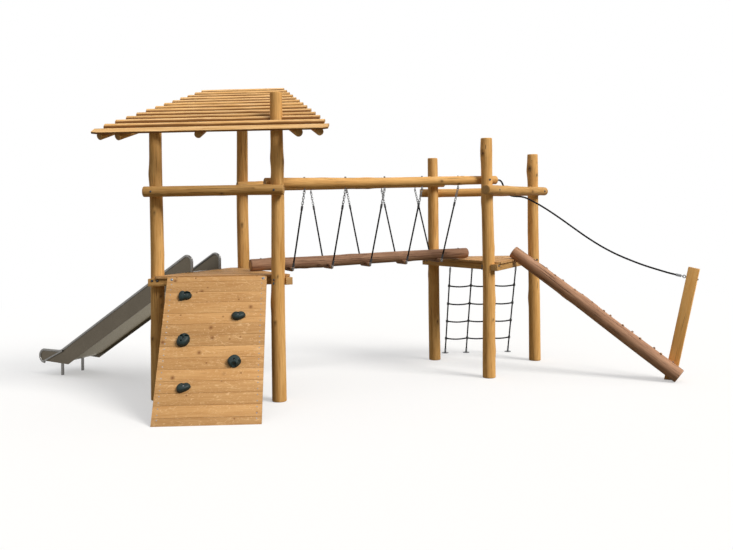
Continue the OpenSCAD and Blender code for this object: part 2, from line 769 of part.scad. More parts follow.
module log_bolts() {
    color(black) for (x = LOG_BOLTS) on_log_bolt(x) {
        cylinder(d = bolt_d, h = log_bolt_l + 1);
        translate([0, 0, log_bolt_l])
            rotate_extrude() polygon(concat([[0, 0]], arc([0, 2], head_d / 2, 0, 90, 5), [[0, 15]]));
    }
}

// Hangers: z runs down the rope from the eye in the beam

module hanger_chains(i) {
    color(zinc) for (side = [-1, 1], n = [0:link_count - 1]) at_hanger(i, side)
        translate([0, 0, chain_from + n * chain_step]) rotate(90 * n) rotate([90, 0, 0]) link();
}
module ring_upper() {
    translate([0, 0, ring_top]) rotate(90 * link_count) rotate([90, 0, 0]) ring(ring_r, link_wire);
}
module ring_lower() {
    translate([0, 0, ring_low]) rotate([90, 0, 0]) ring(ring_r, link_wire);
}
sleeve_grip = ring_r - link_wire / 2 + 2;
module hanger_fittings(i) {
    color(zinc) for (side = [-1, 1]) at_hanger(i, side) {
        ring_upper();
        ring_lower();
    }
}
module hanger_ropes(i) {
    from = ring_top + sleeve_grip;
    l = ring_low - sleeve_grip - from;
    color(black) for (side = [-1, 1]) at_hanger(i, side) difference() {
        translate([0, 0, from]) rotate_extrude() polygon([
            [0, 0], [sleeve_d / 2, 0], [sleeve_d / 2, sleeve_l - sleeve_cone], [rope_d / 2, sleeve_l],
            [rope_d / 2, l - sleeve_l], [sleeve_d / 2, l - sleeve_l + sleeve_cone], [sleeve_d / 2, l], [0, l]
        ]);
        ring_upper();
        ring_lower();
    }
}

// Climbing wall: x across, y up the slope from the ground, z out of the wall's face

module below_ground() {
    translate([-big, -big, -big]) cube([3 * big, 3 * big, big]);
}
module wall_boards() {
    color(board) difference() {
        at_wall() {
            translate([-wall_w / 2, -60, -wall_board_t])
                cube([wall_w, wall_bottom_board + 60 - wall_gap, wall_board_t]);
            for (i = [0:wall_full - 1])
                translate([-wall_w / 2, wall_bottom_board + i * wall_board_w, -wall_board_t])
                    cube([wall_w, wall_board_w - wall_gap, wall_board_t]);
            translate([-wall_w / 2, wall_len - wall_top_board, -wall_board_t])
                cube([wall_w, wall_top_board, wall_board_t]);
        }
        below_ground();
        for (h = HOLDS) on_hold(h) translate([0, 0, -wall_board_t - 1]) cylinder(d = hold_bolt_d, h = 60);
    }
}
module wall_stringers() {
    color(wood) difference() {
        at_wall() for (x = [stringer_in - wall_w / 2, wall_w / 2 - stringer_in - stringer_w])
            translate([x, -120, -wall_board_t - stringer_d]) cube([stringer_w, wall_len + 120, stringer_d]);
        below_ground();
        at_edge(0, 0) translate([-big / 2, -beam_size / 2, 0]) cube([big, big, big]);
        at_edge(0, 0) translate([-big / 2, -slide_out, deck_z - deck_t]) cube([big, big, big]);
    }
}
module on_hold(h) {
    at_wall() translate([h.x, wall_len - h.y, 0]) children();
}
hold_seat = 24;
// Round grip with a lip round its edge, as a turned profile
module hold_dome(r, h) {
    rotate_extrude() polygon(concat(
        [[0, 0], [r - 6, 0]],
        arc([r - 12, 12], 12, -60, 20, 4),
        arc([r * 0.42, h - r * 0.45], r * 0.45, 35, 90, 6),
        [[0, h]]
    ));
}
module hold_bore() {
    translate([0, 0, -1]) cylinder(d = hold_bolt_d, h = 90);
    translate([0, 0, hold_seat]) cylinder(d = 2 * hold_bolt_d, h = 90);
}
module hold(i) {
    on_hold(HOLDS[i]) difference() {
        union() {
            hold_dome([56, 58, 62, 60, 60][i], [40, 44, 52, 54, 46][i]);
            if (i == 0) translate([0, 0, 26]) rotate([0, 78, 0]) cylinder(r1 = 26, r2 = 34, h = 78);
        }
        hold_bore();
        if (i == 0) translate([0, 0, 26]) rotate([0, 78, 0]) translate([0, 0, 48]) cylinder(r = 22, h = 60);
        if (i == 1) translate([0, 62, 46]) sphere(r = 40);
        if (i == 2) for (x = [-26, 26], y = [22, -24])
            translate([x * (y > 0 ? 1 : 0.4), y, 54]) sphere(r = 15);
        if (i == 3) translate([4, -44, 46]) sphere(r = 32);
        if (i == 4) translate([0, 66, 44]) sphere(r = 44);
        translate([-big / 2, -big / 2, -big]) cube([big, big, big]);
    }
}
module climbing_holds() {
    color(green) for (i = [0:len(HOLDS) - 1]) hold(i);
}
module hold_bolts() {
    color(zinc) for (h = HOLDS) on_hold(h) {
        translate([0, 0, -wall_board_t]) cylinder(d = hold_bolt_d, h = wall_board_t + hold_seat + 1);
        translate([0, 0, hold_seat]) cylinder(d = 1.7 * hold_bolt_d, h = 9);
    }
}

// Slide: x out from the deck, y across, z up

module slide_sheet(y0, y1) {
    at_slide() translate([0, y1, 0]) rotate([90, 0, 0]) linear_extrude(y1 - y0) children();
}
module tube_line(p, q, d) {
    v = q - p;
    translate([p.x, 0, p.y]) rotate([0, 90 - atan2(v.y, v.x), 0]) cylinder(d = d, h = norm(v));
}
module tube_arc(c, r, a0, a1, d) {
    translate([c.x, 0, c.y]) rotate([90, 0, 0]) rotate(a0) rotate_extrude(angle = a1 - a0)
        translate([r, 0]) circle(d = d);
}
// Straight lengths are let into the ends of the bent ones
module slide_rim() {
    ear_down = 90 - slide_slope;
    bend_from = 270 - slide_slope;
    straight_d = rim_d - 2 * rim_step;
    tube_line([-ear_l, deck_z], ear_c + ear_r * dir(180) + [0, rim_let], straight_d);
    tube_arc(ear_c, ear_r, ear_down, 180, rim_d);
    tube_line(ear_c + ear_r * dir(ear_down) + rim_let * dir(180 - slide_slope),
        bend_c + rim_bend * dir(bend_from) + rim_let * dir(-slide_slope), straight_d);
    tube_arc(bend_c, rim_bend, bend_from, 270, rim_d);
    tube_line(bend_c + rim_bend * dir(270) - [rim_let, 0],
              end_c + end_r * dir(90) + [rim_let, 0], straight_d);
    tube_arc(end_c, end_r, -90, 90, rim_d);
}
function slide_wall_y(side) = side * (slide_w / 2 - sheet_t / 2);
module slide_wall(side) {
    y = slide_wall_y(side);
    color(steel) slide_sheet(y - sheet_t / 2, y + sheet_t / 2) polygon(WALL);
}
module slide_rims() {
    color(steel) at_slide() for (side = [-1, 1]) {
        translate([0, slide_wall_y(side), 0]) slide_rim();
        translate([0, side * (slide_w + brace_d) / 2, 0])
            tube_line([rim_knee - 40, runout_rim + 10], end_c + [0, 14 - end_r], brace_d);
    }
}
module slide_bed() {
    under = [for (i = [len(BED) - 1:-1:0])
        BED[i] - sheet_t * (i == 1 ? 1 / cos(slide_slope / 2) : 1) * dir(BED_UP[i])];
    color(steel) slide_sheet(sheet_t - slide_w / 2, slide_w / 2 - sheet_t) difference() {
        polygon(concat(BED, under));
        for (i = BED_SEAMS) translate(BED[i]) rotate(BED_UP[i])
            square([6 * sheet_t, bed_seam], center = true);
    }
}
module slide_legs() {
    color(steel) at_slide() {
        for (s = [-1, 1]) translate([leg_at, s * leg_gap / 2, 0]) cylinder(d = leg_d, h = leg_bar_z);
        translate([leg_at, leg_gap / 2 + 30, leg_bar_z]) rotate([90, 0, 0])
            cylinder(d = rim_d, h = leg_gap + 60);
    }
}

// Net: x along the back beam, y up the slope

module net_upright(x) {
    translate([x, net_foot_eye, 0]) rotate([-90, 0, 0])
        cylinder(d = rope_d, h = net_len - net_foot_eye - net_sleeve);
}
module net_clamp_at(x, y) {
    translate([x, y - clamp_l / 2, 0]) rotate([-90, 0, 0]) log_body(clamp_l, clamp_d, clamp_d, 6);
}
module net_cross(x, y) {
    half = asin(net_pitch / 2 / net_arc_r);
    translate([x + net_pitch / 2, y + net_arc_r - net_sag, 0]) rotate(-90 - half)
        rotate_extrude(angle = 2 * half) translate([net_arc_r, 0]) circle(d = rope_d);
}
module net_ropes() {
    color(black) at_net() {
        for (x = NET_X) net_upright(x);
        difference() {
            for (i = [0:net_ropes_n - 2], y = NET_ROWS) net_cross(NET_X[i], y);
            for (x = NET_X, y = NET_ROWS) net_clamp_at(x, y);
        }
    }
}
module net_clamps() {
    color(black) at_net() difference() {
        for (x = NET_X, y = NET_ROWS) net_clamp_at(x, y);
        for (x = NET_X) net_upright(x);
    }
}
module net_fittings() {
    color(zinc) {
        at_net() for (x = NET_X) {
            translate([x, net_len - net_sleeve, 0]) rotate([-90, 0, 0])
                cylinder(d = sleeve_d, h = net_sleeve);
            translate([x, 0, 0]) rotate([-90, 0, 0]) cylinder(d = sleeve_d, h = net_foot_eye);
        }
        at_edge(1, 1) for (x = NET_X) {
            translate([x, -net_foot, 0]) cylinder(d = net_plate_d, h = net_plate_t);
            translate([x, -net_head, net_top_z - net_drop / 2]) cylinder(d = eye_wire, h = net_drop * 3 / 2);
        }
    }
}

// Ramp and rope post

module ramp_axis() {
    at_edge(1, 0) translate([ramp_side, -ramp_reach, ramp_foot_z]) rotate([ramp_rise - 90, 0, 0]) children();
}
module peg(p) {
    ramp_axis() rotate(p.y) translate([0, peg_let - ramp_r(p.x), p.x]) rotate([90, 0, 0])
        log_body(peg_let + peg_over, peg_d, peg_d * 0.87, peg_d / 8);
}
module rope_post_body() {
    at_rope_post() translate([0, -rope_post_w / 2, -foot_cut])
        cube([rope_post_t, rope_post_w, rope_post_h / cos(rope_post_lean) + foot_cut]);
}
module ramp_log() {
    color(bark_brown) difference() {
        ramp_axis() log_body(ramp_len, ramp_d1, ramp_d2, ramp_bevel);
        below_ground();
        at_edge(1, 0) translate([-big / 2, -slide_out, 0]) cube([big, big, deck(1)]);
        rope_post_body();
        for (p = PEGS) peg(p);
    }
}
module ramp_pegs() {
    color(wood) for (p = PEGS) peg(p);
}
module on_rope_eye() {
    at_rope_post() translate([rope_post_t / 2, 0, rope_eye_z]) rotate([-90, 0, 0]) children();
}
module rope_post() {
    color(wood) difference() {
        rope_post_body();
        below_ground();
        on_rope_eye() translate([0, 0, -rope_post_w]) cylinder(d = bolt_d, h = 2 * rope_post_w);
    }
}

// Hand rope: a tube swept along its points

function sweep_side(p, i) = unit(cross(p[min(i + 1, len(p) - 1)] - p[max(i - 1, 0)], [0, 0, 1]));
function sweep_up(p, i) = unit(cross(sweep_side(p, i), p[min(i + 1, len(p) - 1)] - p[max(i - 1, 0)]));
module sweep(p, r, n) {
    rings = [for (i = [0:len(p) - 1], a = [0:n - 1])
        p[i] + r * (cos(a * 360 / n) * sweep_side(p, i) + sin(a * 360 / n) * sweep_up(p, i))];
    last = (len(p) - 1) * n;
    faces = concat(
        [[for (a = [0:n - 1]) a]],
        [for (i = [0:len(p) - 2], a = [0:n - 1]) let (b = (a + 1) % n)
            each [[i * n + a, i * n + n + a, i * n + n + b], [i * n + a, i * n + n + b, i * n + b]]],
        [[for (a = [n - 1:-1:0]) last + a]]
    );
    polyhedron(rings, faces);
}
// Smooth line through points p, with a ring about every rope_ring_step
function smooth(a, b, c, d, t) =
    (2 * b + (c - a) * t + (2 * a - 5 * b + 4 * c - d) * t * t + (3 * b - a - 3 * c + d) * t * t * t) / 2;
function smooth_line(p) = concat(
    [for (i = [0:len(p) - 2]) let (m = max(1, round(norm(p[i + 1] - p[i]) / rope_ring_step)))
        for (j = [0:m - 1]) smooth(p[max(i - 1, 0)], p[i], p[i + 1], p[min(i + 2, len(p) - 1)], j / m)],
    [p[len(p) - 1]]
);
module hand_rope() {
    color(black) sweep(smooth_line(HAND_ROPE), hand_rope_d / 2, 10);
}
socket_l = 31;
module socket_cut() {
    on_socket() translate([0, 0, -60]) cylinder(d = bolt_d, h = 60);
}
module on_socket() {
    at_bridge() translate([bridge_x0, -bridge_y, bridge_z + bridge_lift(bridge_x0)])
        rotate([0, 90 - bridge_tilt, 0]) translate([0, 0, bridge_x1 - bridge_x0]) children();
}
module rope_end_ring() {
    translate([0, 0, rope_ring_z]) rotate([90, 0, 0]) ring(ring_r, link_wire);
}
module hand_rope_fittings() {
    color(zinc) {
        on_socket() {
            translate([0, 0, -50]) cylinder(d = bolt_d, h = 60);
            cylinder(d1 = 48, d2 = hand_rope_d + 10, h = socket_l);
        }
        on_rope_eye() {
            translate([0, 0, -rope_post_w / 2 - nut_h - 2])
                cylinder(d = bolt_d, h = rope_eye_at - eye_r + rope_post_w / 2 + nut_h + 2);
            translate([0, 0, -rope_post_w / 2 - nut_h]) cylinder(d = nut_d, h = nut_h, $fn = 6);
            translate([0, 0, rope_post_w / 2]) cylinder(d = 28, h = 4);
            translate([0, 0, rope_eye_at]) rotate([0, 90, 0]) ring(eye_r, eye_wire);
            rope_end_ring();
            difference() {
                translate([0, 0, rope_ring_z + sleeve_grip])
                    cylinder(d = hand_rope_d + 10, h = rope_end_sleeve);
                rope_end_ring();
            }
        }
    }
}

post(0, post_a_left_h);  // post_a_front_left
post(1, deck_z + post_a_right_over);  // post_a_front_right
post(2, post_a_back_h);  // post_a_back
post(3, deck(1) + post_b_front_over);  // post_b_front
post(4, deck(1) + post_b_right_over);  // post_b_right
post(5, deck(1) + post_b_left_over);  // post_b_left
beam(0, 0);  // beam_a_front
beam(0, 1);  // beam_a_right
beam(0, 2);  // beam_a_left
beam(1, 0);  // beam_b_right
beam(1, 1);  // beam_b_back
beam(1, 2);  // beam_b_left
deck_boards(0);  // deck_a_boards
deck_boards(1);  // deck_b_boards
rail(RAILS[0]);  // rail_a_front
rail(RAILS[1]);  // rail_b_front
rail(RAILS[2]);  // rail_b_back
frame_bolts();
roof_rafters();
roof_slats();
bridge_beam(-1);  // bridge_beam_front
bridge_beam(1);  // bridge_beam_back
bridge_eyebolts();
bridge_log();
log_cross_bars();
log_bar_eyes();
log_bolts();
hanger_chains(0);  // hanger_1_chains
hanger_ropes(0);  // hanger_1_ropes
hanger_fittings(0);  // hanger_1_fittings
hanger_chains(1);  // hanger_2_chains
hanger_ropes(1);  // hanger_2_ropes
hanger_fittings(1);  // hanger_2_fittings
hanger_chains(2);  // hanger_3_chains
hanger_ropes(2);  // hanger_3_ropes
hanger_fittings(2);  // hanger_3_fittings
hanger_chains(3);  // hanger_4_chains
hanger_ropes(3);  // hanger_4_ropes
hanger_fittings(3);  // hanger_4_fittings
hanger_chains(4);  // hanger_5_chains
hanger_ropes(4);  // hanger_5_ropes
hanger_fittings(4);  // hanger_5_fittings
wall_boards();
wall_stringers();
climbing_holds();
hold_bolts();
slide_bed();
slide_wall(-1);  // slide_wall_near
slide_wall(1);  // slide_wall_far
slide_rims();
slide_legs();
net_ropes();
net_clamps();
net_fittings();
ramp_log();
ramp_pegs();
rope_post();
hand_rope();
hand_rope_fittings();
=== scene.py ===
"""Looks of a log-built climbing frame with two towers, a swinging log bridge, slide, wall, net and ramp."""
import math
import random

import bmesh
import bpy
import numpy as np
from mathutils import Matrix


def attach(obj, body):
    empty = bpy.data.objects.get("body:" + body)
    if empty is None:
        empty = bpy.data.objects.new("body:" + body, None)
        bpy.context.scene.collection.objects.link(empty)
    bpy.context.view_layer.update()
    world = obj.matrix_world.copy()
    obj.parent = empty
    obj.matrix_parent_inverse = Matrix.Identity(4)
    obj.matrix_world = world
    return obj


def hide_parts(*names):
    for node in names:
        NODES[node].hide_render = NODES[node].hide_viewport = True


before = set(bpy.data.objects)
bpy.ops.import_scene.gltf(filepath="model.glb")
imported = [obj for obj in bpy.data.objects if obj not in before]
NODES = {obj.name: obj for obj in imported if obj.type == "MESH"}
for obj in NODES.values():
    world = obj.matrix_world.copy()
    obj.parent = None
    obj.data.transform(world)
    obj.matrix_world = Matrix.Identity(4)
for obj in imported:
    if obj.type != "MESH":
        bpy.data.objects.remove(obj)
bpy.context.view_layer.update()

# Sizes of the solids, in metres
SIDE, DECK, GAP, RISE = 1.335, 1.35, 2.65, 0.045
POST_R, POST_TAPER = 0.078, 0.004
BEAM, NOTCH = 0.078, 0.012
RAIL_R, RAIL_Z = 0.057, 2.258
ROPE_R, HAND_ROPE_R = 0.008, 0.011


def way(angle):
    """Unit vector on the ground at an angle in degrees."""
    return np.array([math.cos(math.radians(angle)), math.sin(math.radians(angle))])


# Posts in two triangles, and the ways along and across the bridge
ALONG, ACROSS = way(30), way(120)
TRI = SIDE * math.sqrt(3) / 2
ROW_A = np.array([SIDE * 0.75, TRI / 2])
ROW_B = ROW_A + GAP * ALONG
POSTS = [
    np.array([0, 0]), np.array([SIDE, 0]), np.array([SIDE / 2, TRI]),
    ROW_B - SIDE / 2 * ACROSS, ROW_B + TRI * ALONG, ROW_B + SIDE / 2 * ACROSS,
]


def post_r(z):
    """Radius of a post at a height."""
    return POST_R - POST_TAPER * z


BEAM_OFF = post_r(DECK) + BEAM / 2 - NOTCH
SKEW = math.degrees(math.asin(2 * BEAM_OFF / SIDE))
RAIL_OFF = post_r(RAIL_Z) + RAIL_R - NOTCH


def at_edge(tower, k, x, out, z):
    """Point by a tower's deck beam k: x along it, out from it."""
    mid = (POSTS[3 * tower + k] + POSTS[3 * tower + (k + 1) % 3]) / 2
    a = 120 * k + 60 * tower + SKEW
    p = mid + x * way(a) - out * way(a + 90)
    return np.array([p[0], p[1], z])


def at_bridge(x, y, z):
    """Point by the bridge: x along it from the roofed tower's post row, y across, z above its rise."""
    p = ROW_A + x * ALONG + y * ACROSS
    return np.array([p[0], p[1], z + x * RISE / GAP])


def place(name, data):
    """Puts a new object into the scene."""
    obj = bpy.data.objects.new(name, data)
    bpy.context.scene.collection.objects.link(obj)
    return obj


# Camera at the photograph's place

CAM_AT = (3.128, -8.588, 2.028)
CAM_TURN, CAM_ROLL = math.radians(5.537), -0.0117
CAM_LENS, CAM_SENSOR, CAM_SHIFT, CAM_FAR = 39.98, 36, -0.0879, 200


def make_camera():
    data = bpy.data.cameras.new("camera")
    data.lens = CAM_LENS
    data.sensor_width = CAM_SENSOR
    data.shift_y = CAM_SHIFT
    data.clip_end = CAM_FAR
    cam = place("camera", data)
    turn = Matrix.Rotation(CAM_TURN, 4, "Z") @ Matrix.Rotation(math.pi / 2, 4, "X")
    cam.matrix_world = Matrix.Translation(CAM_AT) @ turn @ Matrix.Rotation(CAM_ROLL, 4, "Z")
    bpy.context.scene.camera = cam


make_camera()

# Meshes

# Range of a random phase, about a full turn
PHASE = 6.28
# Drying cracks of a log: number, half width, depth in radii, and in half widths the lines that draw one,
# the clear strip around it and its open part
CRACKS, CRACK_HALF, CRACK_DEEP = 2, 0.0022, 0.1
CRACK_LINES = np.array([-2.4, -1, -0.4, 0.4, 1, 2.4])
CRACK_CLEAR, CRACK_OPEN = 3.2, 0.7
# Knots of a log in knot sizes: height and width of the swelling, width of the dark heart, and stretch
KNOT_HIGH, KNOT_WIDE, KNOT_HEART, KNOT_LONG = 0.32, 1.5, 0.42, 1.5
# Rounded edge of a sawn end in shares of its depth, and rings on its face in shares of its radius
END_STEPS = np.array([0, 0.12, 0.35, 0.65, 1.0])
END_RINGS = (0.62, 0.28)
# A laid rope: strands, length of one turn in diameters, spacing of its rings, points in a ring
STRANDS, LAY, ROPE_STEP, ROPE_SEG = 4, 7.0, 0.004, 24
# Edges of a rope sharper than this stay sharp, in degrees
ROPE_SHARP = 75


def put_grain(mesh, grain, marks, rims=None):
    """Stores each vertex's place in its wood, its knot, tone and edge; rims are edges by face."""
    att = mesh.attributes.new("grain", "FLOAT_VECTOR", "POINT")
    att.data.foreach_set("vector", np.asarray(grain, np.float32).ravel())
    for i, key in enumerate(("knot", "tone", "edge")):
        by_face = key == "edge" and rims is not None
        att = mesh.attributes.new(key, "FLOAT", "FACE" if by_face else "POINT")
        att.data.foreach_set("value", np.asarray(rims if by_face else marks[:, i], np.float32))


def as_piece(name, mesh, mats, body, replaces, sharp):
    """Makes a mesh a piece that rides on a body and stands for the nodes it replaces."""
    for mat in mats:
        mesh.materials.append(mat)
    mesh.shade_smooth()
    mesh.set_sharp_from_angle(angle=math.radians(sharp))
    obj = place(name, mesh)
    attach(obj, body)
    if replaces:
        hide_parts(*replaces)
    return obj


class Build:
    """Collects vertices, faces and grain attributes for one piece."""

    def __init__(self):
        self.verts, self.grain, self.marks = [], [], []
        self.faces, self.kinds = [], []
        self.count = 0

    def add(self, verts, faces, mat=0, grain=None, knot=None, tone=0.0, edge=None):
        """Adds a form; mat is the material of all its faces, or a list."""
        verts = np.asarray(verts, float)
        zero = np.zeros(len(verts))
        self.verts.append(verts)
        self.grain.append(verts if grain is None else np.asarray(grain, float))
        self.marks.append(np.stack([
            zero if knot is None else knot, zero + tone, zero if edge is None else edge], 1))
        self.faces += [[j + self.count for j in face] for face in faces]
        self.kinds += mat if isinstance(mat, list) else [mat] * len(faces)
        self.count += len(verts)

    def make(self, name, mats, body, replaces=(), sharp=38):
        mesh = bpy.data.meshes.new(name)
        mesh.from_pydata(np.concatenate(self.verts).tolist(), [], self.faces)
        mesh.polygons.foreach_set("material_index", self.kinds)
        put_grain(mesh, np.concatenate(self.grain), np.concatenate(self.marks))
        return as_piece(name, mesh, mats, body, replaces, sharp)


def frame_of(axis):
    """Two vectors square to an axis and to each other, and the axis at length one."""
    axis = np.asarray(axis, float) / np.linalg.norm(axis)
    ref = np.array([0, 0, 1.0]) if abs(axis[2]) < 0.9 else np.array([1.0, 0, 0])
    u = np.cross(ref, axis)
    u /= np.linalg.norm(u)
    return u, np.cross(axis, u), axis


def grid_faces(rings, seg, closed=True):
    """Faces between rings of points, closed or open."""
    faces = []
    for i in range(rings - 1):
        for j in range(seg if closed else seg - 1):
            k = (j + 1) % seg
            faces.append([i * seg + j, i * seg + k, (i + 1) * seg + k, (i + 1) * seg + j])
    return faces


def tube_faces(rings, seg):
    """Faces of a tube with a flat cap on each end."""
    first = list(range(seg))
    last = [(rings - 1) * seg + j for j in first]
    return grid_faces(rings, seg) + [first[::-1], last]


def wobble(rng, terms, low, high):
    """Smooth random wave of one variable, as a list of (amplitude, frequency, phase)."""
    return [(rng.uniform(0.4, 1), rng.uniform(low, high), rng.uniform(0, PHASE)) for _ in range(terms)]


def wave(terms, t):
    """Value of such a wave."""
    return sum(a * np.sin(f * t + p) for a, f, p in terms) / len(terms)


def ridges(rng, turn, along, counts, low, high):
    """Random ridges on a log, one wave for each count of them around it."""
    return sum(
        rng.uniform(0.3, 1) * np.sin(k * turn + rng.uniform(0, PHASE) + rng.uniform(low, high) * along)
        for k in counts) / len(counts)


def sawn_ends(local, rings, seg):
    """Points and faces that close both ends of a log in rings."""
    points, faces = [], []
    for ring, flip in ((0, True), (rings - 1, False)):
        base = ring * seg
        rim = local[base:base + seg]
        centre = rim.mean(0)
        last = [base + j for j in range(seg)]
        for share in END_RINGS:
            start = len(local) + seg * len(points)
            points.append(centre + (rim - centre) * share)
            new = [start + j for j in range(seg)]
            for j in range(seg):
                k = (j + 1) % seg
                quad = [last[j], last[k], new[k], new[j]]
                faces.append(quad[::-1] if flip else quad)
            last = new
        faces.append(last[::-1] if flip else last)
    return np.concatenate(points), faces


def log(build, p0, p1, r0, r1, seed, bow, knots, end, lump=0.02, seg=48, step=0.03, knot_size=0.022, given=(),
        tone=None, shape=None):
    """Adds a peeled log from p0 to p1 with bends, lumps, knots, drying cracks and rounded sawn ends.

    given are more knots, as (distance, turn, size); shape cuts the finished points."""
    rng = random.Random(seed)
    p0, p1 = np.asarray(p0, float), np.asarray(p1, float)
    u, w, axis = frame_of(p1 - p0)
    length = np.linalg.norm(p1 - p0)
    rounding = END_STEPS * end
    inner = np.linspace(end, length - end, max(4, int(length / step)))[1:-1]
    zs = np.concatenate([rounding, inner, length - rounding[::-1]])
    near = np.minimum(np.minimum(zs, length - zs) / end, 1)
    inset = end * (1 - np.sqrt(1 - (1 - near) ** 2))
    lines = [rng.uniform(0.1, 6.1) for _ in range(CRACKS)]
    half = CRACK_HALF / r0
    phi = np.linspace(0, 2 * math.pi, seg, endpoint=False)
    for at in lines:
        phi = phi[np.abs(phi - at) > CRACK_CLEAR * half]
        phi = np.sort(np.concatenate([phi, at + half * CRACK_LINES]))
    seg = len(phi)
    along, turn = np.meshgrid(zs, phi, indexing="ij")
    radius = r0 + (r1 - r0) * along / length
    thick = wave(wobble(rng, 5, 1.0, 7.0), along)
    flute = ridges(rng, turn, along, (2, 3, 4, 5, 7), -1.2, 1.2)
    ripple = ridges(rng, turn, along, (1, 2, 3), 4, 11)
    radius = radius * (1 + lump * (0.9 * thick + 1.1 * flute + 0.5 * ripple))
    dark = np.zeros_like(along)
    spots = [
        (rng.uniform(0.08, 0.92) * length, rng.uniform(0, PHASE), rng.uniform(0.6, 1.25))
        for _ in range(knots)]
    for at, side, size in [*spots, *given]:
        s = knot_size * size
        around = np.angle(np.exp(1j * (turn - side))) * radius
        d = ((along - at) / KNOT_LONG) ** 2 + around ** 2
        radius = radius + KNOT_HIGH * s * np.exp(-d / (2 * (KNOT_WIDE * s) ** 2))
        dark = np.maximum(dark, np.exp(-d / (2 * (KNOT_HEART * s) ** 2)))
    split = np.zeros_like(along)
    for at in lines:
        mid = rng.uniform(0.15, 0.85) * length
        reach = rng.uniform(0.1, 0.3) * length
        deep = np.clip(1 - ((along - mid) / reach) ** 2, 0, 1) ** 0.5
        split = np.maximum(split, deep * (np.abs(turn - at) < half * CRACK_OPEN))
    radius = radius - inset[:, None] - CRACK_DEEP * r0 * split
    twist = rng.uniform(-0.12, 0.12)
    fade = np.sin(np.clip(zs / length, 0, 1) * math.pi)
    off_u, off_w = (bow * (fade * wave(wobble(rng, 3, 0.8, 3.2), zs) * 2) for _ in range(2))
    x = radius * np.cos(turn + twist * along) + off_u[:, None]
    y = radius * np.sin(turn + twist * along) + off_w[:, None]
    local = np.stack([x, y, along], -1).reshape(-1, 3)
    sides = grid_faces(len(zs), seg)
    ends, caps = sawn_ends(local, len(zs), seg)
    local = np.concatenate([local, ends])
    world = p0 + local[:, :1] * u + local[:, 1:2] * w + local[:, 2:] * axis
    if shape is not None:
        world = shape(world)
    grain = local + np.array([0, 0, rng.uniform(0, 40)])
    if tone is None:
        tone = rng.uniform(-1, 1)
    clear = np.zeros(len(ends))
    build.add(world, sides + caps, [0] * len(sides) + [1] * len(caps), grain,
              np.concatenate([dark.ravel(), clear]), tone, np.concatenate([split.ravel(), clear]))


def lathe(build, profile, at, axis, seg, mat=0):
    """Adds a turned shape: profile is a list of (radius, height) from its base along axis."""
    u, w, axis = frame_of(axis)
    phi = np.linspace(0, 2 * math.pi, seg, endpoint=False)
    around = np.cos(phi)[:, None] * u + np.sin(phi)[:, None] * w
    rings = [np.asarray(at) + h * axis + r * around for r, h in profile]
    build.add(np.concatenate(rings), tube_faces(len(rings), seg), mat)


def resample(points, step):
    """Evenly spaced points on the smooth line through the given ones, and its length."""
    p = np.asarray(points, float)
    fine = []
    for i in range(len(p) - 1):
        a, b, c, d = p[max(i - 1, 0)], p[i], p[i + 1], p[min(i + 2, len(p) - 1)]
        second, third = 2 * a - 5 * b + 4 * c - d, 3 * b - a - 3 * c + d
        for t in np.linspace(0, 1, 24, endpoint=False):
            fine.append((2 * b + (c - a) * t + second * t**2 + third * t**3) / 2)
    fine = np.array(fine + [p[-1]])
    run = np.concatenate([[0], np.cumsum(np.linalg.norm(np.diff(fine, axis=0), axis=1))])
    count = max(2, int(round(run[-1] / step)) + 1)
    want = np.linspace(0, run[-1], count)
    return np.stack([np.interp(want, run, fine[:, k]) for k in range(3)], 1), run[-1]


def rope(build, points, radius, full=1.0):
    """Adds a laid rope through points, full times as thick as its radius says."""
    path, length = resample(points, ROPE_STEP)
    tangent = np.gradient(path, axis=0)
    tangent /= np.linalg.norm(tangent, axis=1)[:, None]
    u = frame_of(tangent[0])[0]
    phi = np.linspace(0, 2 * math.pi, ROPE_SEG, endpoint=False)
    rings, grain = [], []
    for i, (p, t) in enumerate(zip(path, tangent)):
        u = u - t * (u @ t)
        u /= np.linalg.norm(u)
        w = np.cross(t, u)
        along = i * length / (len(path) - 1)
        turn = 2 * math.pi * along / (LAY * 2 * radius)
        r = radius * full * (0.80 + 0.20 * np.abs(np.cos(STRANDS / 2 * (phi - turn))) ** 0.7)
        rings.append(p + r[:, None] * (np.cos(phi)[:, None] * u + np.sin(phi)[:, None] * w))
        grain.append(np.stack([radius * (phi - turn), 0 * phi, 0 * phi + along], 1))
    build.add(np.concatenate(rings), tube_faces(len(rings), ROPE_SEG), grain=np.concatenate(grain))
    return path, length


# Materials


def new_material(name):
    mat = bpy.data.materials.new(name)
    mat.use_nodes = True
    tree = mat.node_tree
    return mat, tree, tree.nodes["Principled BSDF"]


def feed(socket, value):
    """Links an input to a socket, or sets it."""
    if isinstance(value, bpy.types.NodeSocket):
        socket.id_data.links.new(value, socket)
    else:
        socket.default_value = value


def put(n, **values):
    """Gives a node its settings and inputs by name."""
    for key, value in values.items():
        if hasattr(n, key):
            setattr(n, key, value)
        else:
            feed(n.inputs[key.replace("_", " ")], value)
    return n


def node(tree, kind, **values):
    return put(tree.nodes.new("ShaderNode" + kind), **values)


def attribute(tree, name, output="Fac"):
    return node(tree, "Attribute", attribute_name=name).outputs[output]


def stretched(vector, scale, rotation=(0, 0, 0)):
    return node(vector.id_data, "Mapping", Vector=vector, Scale=scale, Rotation=rotation).outputs[0]


def noise(vector, stretch, scale, detail, rough=0.6, distortion=0.0):
    return node(vector.id_data, "TexNoise", Vector=stretched(vector, stretch), Scale=scale,
                Detail=detail, Roughness=rough, Distortion=distortion).outputs["Fac"]


